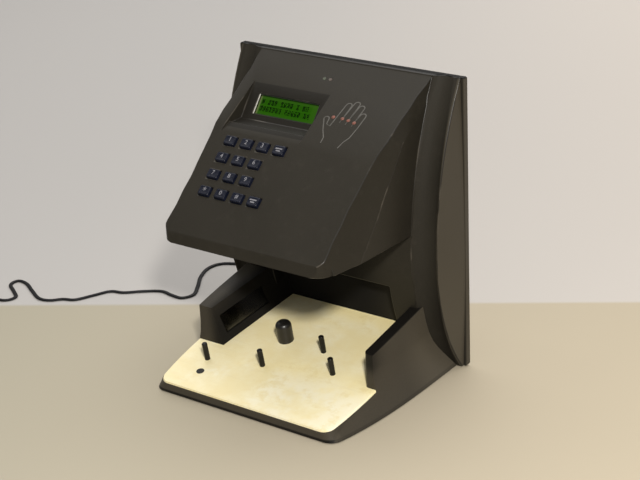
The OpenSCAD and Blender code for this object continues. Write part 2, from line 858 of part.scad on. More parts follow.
// Side cheeks: a thin one on the right and a wide leaning one on the left that holds the mirror
module cheeks(grow)
    intersection() {
        base_body(-grow);
        union() {
            intersection() {
                cheek_profile(0, overall_w, right_cheek_h, grow);
                union() {
                    translate([right_cheek_x - grow, yb(cheek_d - cheek_nose_r), 0])
                        cube([overall_w, overall_d, body_top]);
                    translate([right_cheek_x + cheek_nose_r, yb(cheek_d + grow), 0])
                        cube([overall_w, overall_d, body_top]);
                    translate([right_cheek_x + cheek_nose_r, yb(cheek_d - cheek_nose_r), 0])
                        cylinder(body_top, cheek_nose_r + grow, cheek_nose_r + grow);
                }
            }
            intersection() {
                cheek_profile(-overall_w, 0, left_cheek_h, grow);
                on_left_cheek()
                    translate([-overall_w + grow, -overall_d / 4, -body_top])
                        cube([overall_w, 1.5 * overall_d, 2 * body_top]);
            }
        }
    }

module base_shell()
    color(shell_grey)
        difference() {
            union() {
                difference() {
                    base_wedge(0, 0, foot_h);
                    difference() {
                        base_room();
                        for (p = base_screw_places)
                            translate([p[0], yb(p[1]), 0]) cylinder(body_top, boss_r, boss_r);
                        for (p = concat(pin_places, [web_place]))
                            on_platen(p[0], p[1])
                                translate([0, 0, -pin_boss_l])
                                    cylinder(pin_boss_l, web_pin_dia / 2, web_pin_dia / 2);
                    }
                }
                difference() {
                    cheeks(0);
                    intersection() {
                        base_room();
                        translate([-overall_w, yb(overall_d), 0])
                            cube([2 * overall_w, overall_d, platen_z(cheek_d) - cheek_floor]);
                    }
                }
            }
            column_form(fit_gap);
            for (p = base_screw_places)
                translate([p[0], yb(p[1]), 0]) {
                    cylinder(base_screw_l + 2, screw_r, screw_r);
                    cylinder(foot_h + cover_t, boss_r + 0.5, boss_r + 0.5);
                }
            for (p = pin_places)
                on_platen(p[0], p[1])
                    translate([0, 0, -pin_hole_l]) cylinder(pin_boss_l, pin_dia / 2 - 0.5, pin_dia / 2 - 0.5);
            on_platen(web_place[0], web_place[1])
                translate([0, 0, -pin_hole_l]) cylinder(pin_boss_l, web_pin_dia / 4, web_pin_dia / 4);
            on_platen(plug_place[0], plug_place[1])
                translate([0, 0, -pin_hole_l]) cylinder(pin_boss_l, plug_r - 1, plug_r - 1);
            on_mirror()
                translate([-mirror_t - mirror_sunk, 0, 0])
                    cube([2 * (mirror_t + mirror_sunk), mirror_len, mirror_h]);
        }

module base_cover()
    color(dark_grey)
        difference() {
            intersection() {
                base_body(wall + fit_gap);
                translate([-overall_w, yb(overall_d), foot_h]) cube([2 * overall_w, overall_d, cover_t]);
            }
            column_form(wall + 2 * fit_gap);
            translate([-overall_w, yb(plate_t + wall), 0]) cube([2 * overall_w, overall_d, body_top]);
            for (p = base_screw_places)
                translate([p[0], yb(p[1]), 0]) {
                    cylinder(2 * base_screw_l, screw_r + screw_slack, screw_r + screw_slack);
                    cylinder(foot_h + screw_head_t - 0.5, head_r + screw_slack, head_r + screw_slack);
                }
        }

// Cream reflecting sheet, notched round the cheeks and drilled for the pins
module platen()
    color(cream)
        difference() {
            intersection() {
                base_body(sheet_inset);
                across(-overall_w, overall_w, [
                    [recess_d + sheet_inset, platen_z(recess_d + sheet_inset) - platen_t],
                    [overall_d + past, platen_z(overall_d + past) - platen_t],
                    [overall_d + past, platen_z(overall_d + past)],
                    [recess_d + sheet_inset, platen_z(recess_d + sheet_inset)]
                ]);
            }
            cheeks(fit_gap);
            column_form(fit_gap);
            for (p = pin_places)
                on_platen(p[0], p[1])
                    translate([0, 0, -2 * platen_t])
                        cylinder(3 * platen_t, pin_dia / 2 - 0.4, pin_dia / 2 - 0.4);
            on_platen(web_place[0], web_place[1])
                translate([0, 0, -2 * platen_t])
                    cylinder(3 * platen_t, web_pin_dia / 4 + 0.1, web_pin_dia / 4 + 0.1);
            on_platen(plug_place[0], plug_place[1])
                translate([0, 0, -2 * platen_t]) cylinder(3 * platen_t, plug_r - 0.9, plug_r - 0.9);
        }

// A pin that stands on the platen, with a rounded tip and a spigot through the sheet
module platen_pin(dia, h, dome, spigot_r)
    rotate_extrude()
        union() {
            square([dia / 2, h - dome]);
            translate([0, h - dome]) square([dia / 2 - dome, dome]);
            intersection() {
                translate([dia / 2 - dome, h - dome]) circle(dome);
                translate([0, h - dome]) square([dia / 2, dome]);
            }
            translate([0, -pin_spigot_l]) square([spigot_r, pin_spigot_l + dome]);
        }

module finger_pins()
    color(dark_grey)
        for (p = pin_places)
            on_platen(p[0], p[1]) platen_pin(pin_dia, pin_h, pin_dome, pin_dia / 2 - 0.6);

module web_pin()
    color(dark_grey)
        on_platen(web_place[0], web_place[1])
            platen_pin(web_pin_dia, web_pin_h, web_dome, web_pin_dia / 4 - 0.1);

module platen_plug()
    color(dark_grey)
        on_platen(plug_place[0], plug_place[1])
            rotate_extrude()
                union() {
                    square([plug_r, plug_cap_t]);
                    translate([0, plug_cap_t - pin_spigot_l]) square([plug_r - 1.1, pin_spigot_l]);
                }

module side_mirror()
    color([0.75, 0.78, 0.8])
        on_mirror()
            translate([-mirror_t - mirror_sunk + 0.1, fit_gap, fit_gap])
                cube([mirror_t, mirror_len - 2 * fit_gap, mirror_h - 2 * fit_gap]);

module display_window()
    color([0.35, 0.65, 0.1])
        on_window()
            linear_extrude(window_t)
                square([
                    glass_w + 2 * (window_rim - fit_gap), glass_h + 2 * (window_rim - fit_gap)
                ], center = true);

module display_module()
    color(board_green)
        on_window() {
            translate([0, 0, -module_t])
                linear_extrude(module_t)
                    square([glass_w + 2 * module_rim, glass_h + 2 * module_rim], center = true);
            translate([0, 0, -module_t - board_t])
                linear_extrude(board_t)
                    square([glass_w + 4 * module_rim, glass_h + 4 * module_rim], center = true);
        }

module keypad_mat()
    color(dark_grey)
        on_keypad()
            union() {
                translate([console_x, keypad_mid_y, -board_top])
                    linear_extrude(mat_t)
                        square([board_w - 1, board_h - 4 * keypad_post_r - 2], center = true);
                for (s = key_spots)
                    translate([key_x(s[0]), key_y(s[1]), -board_top])
                        cylinder(mat_t + dome_h, dome_r, dome_r - 0.5);
            }

module keypad_board()
    color(board_green)
        on_keypad()
            translate([console_x, keypad_mid_y, -board_top - board_t])
                linear_extrude(board_t) square([board_w, board_h], center = true);

module keypad_key(col, row)
    color([0.13, 0.15, 0.24])
        on_keypad()
            translate([key_x(col), key_y(row), -key_foot]) {
                linear_extrude(key_foot + key_proud) rounded_rect(key_w, key_h, key_corner_r);
                linear_extrude(flange_t)
                    rounded_rect(key_w + 2 * flange_lip, key_h + 2 * flange_lip, key_corner_r);
            }

module status_lamp(index, tint)
    color(tint)
        on_panel()
            translate([lamp_xs[index], -lamp_y, -wall - lamp_back])
                rotate_extrude()
                    union() {
                        square([lamp_r, wall + lamp_back + fit_gap]);
                        square([lamp_r + lamp_rim, lamp_back - fit_gap]);
                    }

module optics_window()
    color([0.1, 0.05, 0.07])
        translate([
            -optics_w / 2 - optics_rim + fit_gap,
            yb(optics_d + optics_l / 2) - optics_rim + fit_gap,
            floor_top(optics_d) - optics_glass_t
        ])
            cube([
                optics_w + 2 * (optics_rim - fit_gap), optics_l + 2 * (optics_rim - fit_gap), optics_glass_t
            ]);

module infrared_board()
    color(board_green)
        translate([0, yb(optics_d), ir_board_z])
            difference() {
                linear_extrude(board_t) square([optics_board_w, ir_board_l], center = true);
                translate([0, 0, -past]) cylinder(board_t + 2 * past, lens_r + 1, lens_r + 1);
                for (sx = [-1, 1], sy = [-1, 1])
                    translate([sx * optics_post_x, sy * camera_post_y, -past])
                        cylinder(board_t + 2 * past, optics_post_r + fit_gap, optics_post_r + fit_gap);
            }

module infrared_leds()
    color([0.3, 0.1, 0.12])
        for (sx = [-1, 1], i = [0:3])
            translate([sx * led_x, yb(optics_d) + (i - 1.5) * led_pitch, ir_board_z])
                mirror([0, 0, 1])
                    rotate_extrude()
                        union() {
                            square([led_r + 0.4, 1]);
                            square([led_r, led_l]);
                        }

module camera_board()
    color(board_green)
        translate([0, yb(optics_d), camera_z])
            linear_extrude(board_t) square([optics_board_w, camera_board_l], center = true);

module camera_lens()
    color([0.1, 0.1, 0.1])
        translate([0, yb(optics_d), camera_z])
            mirror([0, 0, 1])
                rotate_extrude()
                    union() {
                        square([lens_r + 3, lens_mount_t]);
                        square([lens_r, lens_l]);
                        translate([0, lens_l]) square([lens_r - 2, 2]);
                    }

module main_board()
    color(board_green)
        translate([-main_w / 2, yb(main_front), main_z - main_h / 2])
            cube([main_w, board_t, main_h]);

module backup_battery()
    color([0.85, 0.85, 0.8])
        for (i = [0:2])
            translate([cell_x + i * cell_pitch, yb(plate_t) - cell_r, cell_z])
                cylinder(cell_l, cell_r, cell_r);

module sounder()
    color(dark_grey)
        from_back(sounder_x, main_front, main_z - sounder_drop)
            difference() {
                cylinder(sounder_t, sounder_r, sounder_r);
                translate([0, 0, sounder_t / 2]) cylinder(sounder_t, sounder_port_r, sounder_port_r);
            }

module power_jack()
    color(dark_grey)
        from_back(jack_x, 0, jack_z)
            difference() {
                union() {
                    cylinder(plate_t, jack_r, jack_r);
                    translate([0, 0, plate_t]) cylinder(jack_body, jack_r + 2, jack_r + 2);
                }
                translate([0, 0, -past]) cylinder(jack_body + past, jack_bore_r, jack_bore_r);
            }

module terminal_block()
    color([0.15, 0.35, 0.25])
        translate([-terminal_size[0] / 2, yb(main_front + terminal_size[1]), main_z - main_h / 2 + terminal_lift])
            difference() {
                cube(terminal_size);
                for (i = [0:9])
                    translate([terminal_pitch * (i + 0.5) - terminal_port[0] / 2, -past, terminal_port[0]])
                        cube(terminal_port);
            }

module rubber_feet()
    color([0.1, 0.1, 0.1])
        for (p = feet_places)
            translate([p[0], yb(p[1]), 0])
                rotate_extrude()
                    polygon([[0, 0], [foot_r - 0.5, 0], [foot_r, 0.5], [foot_r, foot_h], [0, foot_h]]);

module screw(length)
    rotate_extrude()
        union() {
            square([head_r, screw_head_t]);
            square([screw_r - 0.1, length]);
        }

module plate_screws()
    color(plated)
        for (p = plate_screw_places)
            from_back(p[0], 0.5, p[1]) screw(plate_t + plate_boss_l - 3);

module base_screws()
    color(plated)
        for (p = base_screw_places)
            translate([p[0], yb(p[1]), foot_h - 0.5]) screw(base_screw_l);

module floor_screws()
    color(plated)
        for (p = floor_screw_places)
            translate([p[0], yb(p[1]), floor_low(p[1]) - 1]) screw(floor_screw_l);

module dc_plug()
    color(lead_black)
        translate([jack_x, yb(0), jack_z])
            rotate([-90, 0, 0])
                rotate_extrude()
                    polygon([
                        [0, -plug_tip], [jack_bore_r - 0.1, -plug_tip], [jack_bore_r - 0.1, fit_gap],
                        [plug_grip_r, fit_gap], [plug_grip_r, plug_grip], [3.2, plug_neck],
                        [2.6, plug_len], [0, plug_len]
                    ]);

function unit(v) = v / norm(v);
function heading(points, i) = unit(at(points, i + 1) - at(points, i - 1));
// Section corner k of a flat lead, with its width along side and its thickness along lift
function section(centre, side, lift, w, t, n) =
    [for (k = [0:n - 1])
        let (a = 360 * (k + 0.5) / n)
        centre + side * (w / 2 * cos(a)) + lift * (t / 2 * sin(a))];

// Tube of n sides along points, with its width turned by roll from level at each point
module lead_tube(points, rolls, w, t, n) {
    count = len(points);
    last = (count - 1) * n;
    rings = [for (i = [0:count - 1])
        let (
            ahead = heading(points, i),
            level = unit(cross([0, 0, 1], ahead)),
            up = cross(ahead, level),
            side = level * cos(rolls[i]) + up * sin(rolls[i]),
            lift = cross(ahead, side)
        )
        section(points[i], side, lift, w, t, n)];
    verts = [for (ring = rings, p = ring) p];
    faces = concat(
        [for (i = [0:count - 2], k = [0:n - 1]) each
            let (a = i * n + k, b = i * n + (k + 1) % n)
            [[a, b, b + n], [a, b + n, a + n]]],
        [for (k = [1:n - 2]) [0, k + 1, k]],
        [for (k = [1:n - 2]) [last, last + k, last + k + 1]]
    );
    polyhedron(verts, faces);
}

module cord()
    color(lead_black) lead_tube(cord_points, cord_rolls, cord_w, cord_t, 8);

module cord_coil()
    color(lead_black) lead_tube(coil_points, coil_rolls, cord_w, cord_t, 6);

// Strap round the bundle of turns
module coil_tie() {
    slack = tie_gap + tie_t;
    room = [coil_out - coil_in + 2 * tie_gap, tie_w + 2 * past, cord_w + coil_layer + 2 * tie_gap];
    color([0.12, 0.12, 0.13])
        translate([coil_x - coil_out - slack, coil_y - tie_w / 2, coil_lift - slack])
            difference() {
                cube([room[0] + 2 * tie_t, tie_w, room[2] + 2 * tie_t]);
                translate([tie_t, -past, tie_t]) cube(room);
            }
}

module plug_pack()
    color(lead_black) {
        translate([pack_x, coil_last[1], coil_last[2]])
            rotate([0, -90, 0]) cylinder(relief_len, relief_tip_r, relief_r);
        translate([pack_x - relief_len - pack_l, coil_last[1], pack_h / 2])
            rotate([90, 0, 90])
                linear_extrude(pack_l) rounded_rect(pack_w, pack_h, pack_corner_r);
    }

module plug_pins()
    color([0.8, 0.75, 0.6])
        for (s = [-1, 1])
            translate([
                pack_x - relief_len - pack_l / 2 - blade_w / 2,
                coil_last[1] - pack_w / 2 - blade_l,
                (pack_h + s * blade_pitch - blade_t) / 2
            ])
                cube([blade_w, blade_l, blade_t]);

front_housing();
wall_plate();
head_floor();
base_shell();
base_cover();
platen();
finger_pins();
web_pin();
platen_plug();
side_mirror();
display_window();
display_module();
keypad_mat();
keypad_board();
status_lamp(0, [0.2, 0.5, 0.25]);  // status_lamp_green
status_lamp(1, [0.55, 0.15, 0.12]);  // status_lamp_red
optics_window();
infrared_board();
infrared_leds();
camera_board();
camera_lens();
main_board();
backup_battery();
sounder();
power_jack();
terminal_block();
rubber_feet();
plate_screws();
base_screws();
floor_screws();
dc_plug();
cord();
cord_coil();
coil_tie();
plug_pack();
plug_pins();
for (i = [0:len(key_names) - 1])
    keypad_key(key_spots[i][0], key_spots[i][1]);
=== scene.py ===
import math

import bmesh
import bpy
from mathutils import Matrix, Vector


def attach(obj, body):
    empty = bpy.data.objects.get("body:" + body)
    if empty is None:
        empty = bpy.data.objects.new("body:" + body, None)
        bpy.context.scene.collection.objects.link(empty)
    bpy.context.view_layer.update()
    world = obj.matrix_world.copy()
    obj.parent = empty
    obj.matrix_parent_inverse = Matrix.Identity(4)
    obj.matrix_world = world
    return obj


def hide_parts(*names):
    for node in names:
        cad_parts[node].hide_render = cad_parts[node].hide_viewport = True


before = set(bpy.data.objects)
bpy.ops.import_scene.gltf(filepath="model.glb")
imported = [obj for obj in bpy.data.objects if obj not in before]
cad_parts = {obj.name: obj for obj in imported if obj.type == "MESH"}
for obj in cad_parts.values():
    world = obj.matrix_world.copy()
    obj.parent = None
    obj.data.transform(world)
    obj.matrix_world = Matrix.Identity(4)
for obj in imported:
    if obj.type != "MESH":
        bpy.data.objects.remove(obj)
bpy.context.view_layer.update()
scene = bpy.context.scene
scene.view_settings.view_transform = "Standard"

# Camera: a little to the right of the clock and above it, as a person standing at the table
# sees it. The long lens and the slight roll are the photograph's own.
eye = bpy.data.cameras.new("eye")
focal_px, image_w_px = 1628.0, 640.0
eye.sensor_width = 36.0
eye.lens = eye.sensor_width * focal_px / image_w_px
eye.clip_end = 60.0
viewer = bpy.data.objects.new("viewer", eye)
scene.collection.objects.link(viewer)
right = Vector((0.81073526, 0.58366346, -0.04522494))
up = Vector((-0.19461108, 0.34156981, 0.91948713))
back = Vector((0.55211852, -0.73665937, 0.39051007))
turn = Matrix((right, up, back)).transposed().to_4x4()
viewer.matrix_world = Matrix.Translation((0.87096, -1.12481, 0.74548)) @ turn
scene.camera = viewer


# Supply lead: flat twin flex in a matt black sheath, pushed into the jack at the back with a
# moulded plug. It wanders over the table, and the rest of it is coiled beside its plug pack.
class Flow:
    """One value in a material's nodes, so that patterns are written as sums and products."""

    def __init__(self, tree, socket):
        self.tree, self.socket = tree, socket

    def maths(self, operation, first, second):
        node = self.tree.nodes.new("ShaderNodeMath")
        node.operation = operation
        for value, entry in zip((first, second), node.inputs):
            if isinstance(value, Flow):
                self.tree.links.new(value.socket, entry)
            else:
                entry.default_value = value
        return Flow(self.tree, node.outputs[0])

    def __add__(self, other): return self.maths("ADD", self, other)
    def __radd__(self, other): return self.maths("ADD", other, self)
    def __sub__(self, other): return self.maths("SUBTRACT", self, other)
    def __rsub__(self, other): return self.maths("SUBTRACT", other, self)
    def __mul__(self, other): return self.maths("MULTIPLY", self, other)
    def __rmul__(self, other): return self.maths("MULTIPLY", other, self)
    def __truediv__(self, other): return self.maths("DIVIDE", self, other)
    def __gt__(self, other): return self.maths("GREATER_THAN", self, other)
    def __lt__(self, other): return self.maths("LESS_THAN", self, other)
    def __mod__(self, other): return self.maths("FLOORED_MODULO", self, other)
    def __abs__(self): return self.maths("ABSOLUTE", self, 0.0)
    def __floor__(self): return self.maths("FLOOR", self, 0.0)


class Finish:
    """A material under one shader, with a method that adds a node by type, settings and sockets."""

    def __init__(self, name, roughness, **constants):
        self.material = bpy.data.materials.new(name)
        self.material.use_nodes = True
        self.tree = self.material.node_tree
        self.shader = self.tree.nodes["Principled BSDF"]
        self.shader.inputs["Roughness"].default_value = roughness
        for socket, value in constants.items():
            self.shader.inputs[socket.replace("_", " ")].default_value = value
        self.place = self.node("ShaderNodeTexCoord", {}, {}, "Object")

    def node(self, kind, settings, sockets, out=0):
        made = self.tree.nodes.new(kind)
        for key, value in settings.items():
            setattr(made, key, value)
        for key, value in sockets.items():
            entry = next(s for s in made.inputs if key in (s.identifier, s.name) and s.enabled)
            if isinstance(value, Flow):
                self.tree.links.new(value.socket, entry)
            else:
                entry.default_value = value
        return Flow(self.tree, made.outputs[out])

    def noise(self, scale, detail=2.0, place=None, rough=0.5):
        return self.node("ShaderNodeTexNoise", {}, {
            "Vector": place or self.place, "Scale": scale, "Detail": detail, "Roughness": rough}, "Fac")

    def ramp(self, value, low, high):
        return self.node("ShaderNodeMapRange", {"interpolation_type": "SMOOTHSTEP"}, {
            "Value": value, "From Min": low, "From Max": high}, "Result")

    def mix(self, share, first, second):
        return self.node("ShaderNodeMix", {"data_type": "RGBA"}, {
            "Factor_Float": share, "A_Color": first, "B_Color": second}, 2)

    def axes(self, place=None):
        made = self.tree.nodes.new("ShaderNodeSeparateXYZ")
        self.tree.links.new((place or self.place).socket, made.inputs[0])
        return [Flow(self.tree, o) for o in made.outputs]

    def feed(self, socket, value):
        self.tree.links.new(value.socket, self.shader.inputs[socket])

    def relief(self, height, strength, distance):
        self.feed("Normal", self.node("ShaderNodeBump", {}, {
            "Strength": strength, "Distance": distance, "Height": height}, "Normal"))


def tint(r, g, b):
    return (r, g, b, 1.0)


def patchy(name, patch, tones, gloss, grain=None, **constants):
    """A finish that varies in patches, given by their noise's scale and detail and the levels where
    they start and are full. Gloss is the least roughness and what a patch adds to it, and grain the
    scale, strength and depth of its bump."""
    scale, detail, start, full = patch
    made = Finish(name, gloss[0], **constants)
    share = made.ramp(made.noise(scale, detail), start, full)
    made.feed("Base Color", made.mix(share, *(tint(*tone) for tone in tones)))
    made.feed("Roughness", share * gloss[1] + gloss[0])
    if grain:
        made.relief(made.noise(grain[0], 2.0), *grain[1:])
    return made


sheath = patchy("matt_sheath", (60.0, 4.0, 0.45, 0.75), ((0.004, 0.004, 0.005), (0.009, 0.009, 0.011)),
                (0.42, 0.2), (900.0, 0.15, 0.0003), Specular_IOR_Level=0.2)

lead_w, lead_t = 0.0044, 0.0024
lay_z = lead_t / 2 + 0.0001
coil_centre = Vector((-0.450, -0.068, 0.0))
coil_r, coil_turns, coil_lift = 0.029, 3, 0.001
coil_step, coil_layer = lead_t + 0.0018, lead_w + 0.0015
edge_z = coil_lift + lead_w / 2
exit_point = Vector((-0.084, 0.126, 0.036))
route = [exit_point, exit_point + Vector((0, 0.006, 0)), Vector((-0.092, 0.146, 0.024)),
         Vector((-0.110, 0.160, 0.010)), Vector((-0.135, 0.168, 0.003))]
for x, y in ((-165, 172), (-195, 175), (-222, 176), (-240, 166), (-244, 148), (-236, 126), (-222, 104),
             (-213, 86), (-219, 73), (-234, 73), (-250, 75), (-268, 64), (-284, 51), (-299, 46), (-308, 29),
             (-318, 10), (-331, 4), (-342, -6), (-356, -8), (-376, 2), (-396, 13), (-410, 14), (-410, 2),
             (-394, -9), (-381, -19), (-385, -31)):
    route.append(Vector((x / 1000, y / 1000, lay_z)))
route.append(Vector((-0.402, -0.036, lay_z + 0.001)))
route.append(Vector((-0.426, coil_centre.y + coil_r, edge_z)))
route.append(Vector((coil_centre.x, coil_centre.y + coil_r, edge_z)))


def smooth_line(points, steps):
    """A smooth curve through the points, with so many steps between two of them."""
    def pick(i):
        return points[min(max(i, 0), len(points) - 1)]
    line = []
    for i in range(len(points) - 1):
        a, b, c, e = pick(i - 1), pick(i), pick(i + 1), pick(i + 2)
        for k in range(steps):
            t = k / steps
            line.append(0.5 * (2 * b + (c - a) * t + (2 * a - 5 * b + 4 * c - e) * t * t
                               + (3 * b - a - 3 * c + e) * t ** 3))
    return line + [points[-1]]


def coil_point(n):
    """The lead's middle after n turns: it winds inward, climbs one layer and winds out again."""
    r = coil_r - coil_step * min(n, coil_turns + 0.25) + coil_step * max(n - coil_turns - 0.25, 0)
    angle = math.pi / 2 + 2 * math.pi * n
    climb = min(max((n - coil_turns) / 0.5, 0), 1)
    return coil_centre + Vector((r * math.cos(angle), r * math.sin(angle), edge_z + coil_layer * climb))


steps, turn_steps = 5, 40
free_line = smooth_line(route, steps)
turns = 2 * coil_turns + 1
coil_line = [coil_point(i / turn_steps) for i in range(1, turns * turn_steps + 1)]
lead_line = free_line + coil_line + [coil_line[-1] - Vector((lead_w, 0, 0))]
roll_from = len(free_line) - 1 - 2 * steps


def loft(name, rings, closed_ends=True):
    """A skin over rings of equally many points."""
    mesh = bmesh.new()
    rows = [[mesh.verts.new(p) for p in ring] for ring in rings]
    n = len(rings[0])
    for low, high in zip(rows, rows[1:]):
        for k in range(n):
            mesh.faces.new((low[k], low[(k + 1) % n], high[(k + 1) % n], high[k]))
    if closed_ends:
        mesh.faces.new(rows[0][::-1])
        mesh.faces.new(rows[-1])
    bmesh.ops.recalc_face_normals(mesh, faces=mesh.faces)
    data = bpy.data.meshes.new(name)
    mesh.to_mesh(data)
    mesh.free()
    data.shade_smooth()
    made = bpy.data.objects.new(name, data)
    scene.collection.objects.link(made)
    return made


# The flex is two round cores side by side, so its section has a waist on each flat side
section = []
section_points, waist_depth, waist_width = 14, 0.2, 0.35
for k in range(section_points):
    a = 2 * math.pi * (k + 0.5) / section_points
    waist = 1 - waist_depth * math.exp(-(math.cos(a) / waist_width) ** 2)
    out = math.copysign(abs(math.cos(a)) ** 0.8, math.cos(a))
    section.append((lead_w / 2 * out, lead_t / 2 * math.sin(a) * waist))
rings = []
for i, p in enumerate(lead_line):
    ahead = (lead_line[min(i + 1, len(lead_line) - 1)] - lead_line[max(i - 1, 0)]).normalized()
    level = Vector((0, 0, 1)).cross(ahead).normalized()
    roll = math.pi / 2 * min(max((i - roll_from) / (2 * steps), 0), 1)
    side = level * math.cos(roll) + ahead.cross(level) * math.sin(roll)
    lift = ahead.cross(side)
    rings.append([p + side * u + lift * v for u, v in section])
lead = loft("supply_lead", rings)
lead.data.materials.append(sheath.material)
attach(lead, "clock")
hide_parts("cord", "cord_coil")
lead_length = sum((b - a).length for a, b in zip(lead_line, lead_line[1:]))


def softened(name, nodes, finish, radius, segments=2, sharp=28.0, crease=None, painted_edge_finish=None):
    """A copy of the CAD pieces with their loose triangles joined and their edges rounded as moulded.

    With crease, a test of an edge's middle and angle, only steep edges and those it picks are rounded.
    Given a second finish, the rounded edges take that finish.
    """
    mesh = bmesh.new()
    for node in nodes:
        mesh.from_mesh(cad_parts[node].data)
    bmesh.ops.remove_doubles(mesh, verts=mesh.verts, dist=2e-6)
    bmesh.ops.dissolve_limit(mesh, angle_limit=math.radians(0.4), verts=mesh.verts, edges=mesh.edges)
    if crease:
        bmesh.ops.remove_doubles(mesh, verts=mesh.verts, dist=0.0005)
        weight = mesh.edges.layers.float.new("bevel_weight_edge")
        for line in mesh.edges:
            angle = math.degrees(line.calc_face_angle(0.0))
            if angle > sharp or crease((line.verts[0].co + line.verts[1].co) / 2, angle):
                room = min(other.calc_length() for end in line.verts for other in end.link_edges)
                line[weight] = min(1.0, 0.45 * room / radius)
    data = bpy.data.meshes.new(name)
    mesh.to_mesh(data)
    mesh.free()
    data.shade_smooth()
    data.materials.append(finish.material)
    made = bpy.data.objects.new(name, data)
    scene.collection.objects.link(made)
    edge = made.modifiers.new("edges", "BEVEL")
    edge.width = radius
    edge.segments = segments
    if painted_edge_finish:
        data.materials.append(painted_edge_finish.material)
        edge.material = 1
    if crease:
        edge.limit_method = "WEIGHT"
        edge.use_clamp_overlap = False
    else:
        edge.limit_method = "ANGLE"
        edge.angle_limit = math.radians(sharp)
        data.set_sharp_from_angle(angle=math.radians(sharp))
    shade = made.modifiers.new("shading", "WEIGHTED_NORMAL")
    shade.weight = 80
    shade.keep_sharp = True
    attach(made, "clock")
    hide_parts(*nodes)
    return made


plug_black = patchy("moulded_black", (25.0, 4.0, 0.3, 0.75),
                    ((0.012, 0.012, 0.013), (0.026, 0.026, 0.027)), (0.36, 0.2), (1500.0, 0.12, 0.0002))
jack_plug = softened("jack_plug", ["dc_plug"], sheath, 0.0006)
lead_strap = softened("lead_strap", ["coil_tie"], sheath, 0.0003)
pack = softened("supply_pack", ["plug_pack"], plug_black, 0.0012, segments=3)
blade_plate = patchy("plated_blades", (300.0, 4.0, 0.4, 0.7), ((0.72, 0.66, 0.5), (0.5, 0.45, 0.33)),
                     (0.2, 0.25), Metallic=1.0)
blades = softened("supply_blades", ["plug_pins"], blade_plate, 0.0004)


# Wall plate: a flat moulded back with rounded corners, screwed to the wall through four holes.
# It is the same warm grey textured plastic as the housing that hangs on it.
def moulded_grey(name, light, dark, gloss, areas=None):
    """Textured plastic with clouds, dust and scuffs, and areas painted black or pale, which is painted shade
    and light, and areas made more matt.
    """
    made = Finish(name, gloss, Specular_IOR_Level=0.16)
    cloud = made.ramp(made.noise(14.0, 3.0), 0.3, 0.7)
    dust = made.ramp(made.noise(95.0, 5.0, rough=0.65), 0.52, 0.8)
    grain = made.noise(1300.0, 2.0)
    stretched = made.node("ShaderNodeMapping", {}, {
        "Vector": made.place, "Rotation": (0.4, 0.7, 0.3), "Scale": (30.0, 900.0, 160.0)})
    scuffs = made.ramp(made.noise(1.0, 2.0, stretched), 0.68, 0.8)
    scuffs = scuffs * made.ramp(made.noise(22.0, 2.0), 0.5, 0.65)
    colour = made.mix(cloud, dark, light)
    colour = made.mix(dust * 0.08, colour, tint(0.1, 0.09, 0.075))
    colour = made.mix(scuffs * 0.1, colour, tint(0.1, 0.095, 0.085))
    speck = made.ramp(grain, 0.42, 0.7)
    colour = made.mix(speck * 0.25, colour, tint(0.009, 0.0085, 0.007))
    rough = cloud * 0.07 + dust * 0.1 - scuffs * 0.08 + (gloss - 0.05)
    if areas:
        black, pale, matt = areas(made)
        # The pale areas are painted light and the black areas painted shade.
        colour = made.mix(pale, colour, tint(0.1, 0.087, 0.065))
        colour = made.mix(black, colour, tint(0.002, 0.002, 0.0022))
        rough = rough + matt
    made.feed("Base Color", colour)
    made.feed("Roughness", rough)
    made.relief(grain * 0.7 + made.noise(3200.0, 1.0) * 0.3, 0.22, 0.00025)
    return made


def plate_areas(made):
    """Sides painted pale, which is painted light, and a top edge painted dark, which is painted shade and is
    more matt.
    """
    x, _, z = made.axes()
    top, side = made.ramp(z, 0.2945, 0.2955), made.ramp(abs(x), 0.1285, 0.1295)
    return top * 0.85, side * 0.45, top * 0.2


back_grey = moulded_grey("back_grey", tint(0.0255, 0.0228, 0.018), tint(0.023, 0.0206, 0.0162),
                         0.45, plate_areas)
softened("back_plate", ["wall_plate"], back_grey, 0.0004)

# Front housing: one large moulding with the overhanging head, the column and the hollowed wings.
# Its face is warm grey plastic with a fine spark-eroded texture. Its softly rounded edges are painted darker,
# which is a painted shade line, and are rubbed shiny and pale in patches, which are wear and painted
# highlights.
panel_tilt, pocket_tilt, keypad_tilt = (math.radians(a) for a in (30.914, 50.4, 40.6))
panel = Matrix.Translation((0.0, 0.091, 0.296)) @ Matrix.Rotation(panel_tilt, 4, "X")


def flat_on(finish, spot):
    """Object coordinates turned into the plane of a sloping face, as (across, up, out)."""
    home = spot.inverted()
    moved = finish.node("ShaderNodeMapping", {}, {
        "Vector": finish.place, "Location": home.to_translation(), "Rotation": home.to_euler()})
    return finish.axes(moved)


def recess_shade(made, x, y, z):
    """Where the hand space under the head is painted black, which is painted shade under the head."""
    between = made.ramp(x, 0.085, 0.02) * made.ramp(x, -0.098, -0.08)
    return between * made.ramp(z, 0.162, 0.15) * made.ramp(y, -0.08, -0.045)


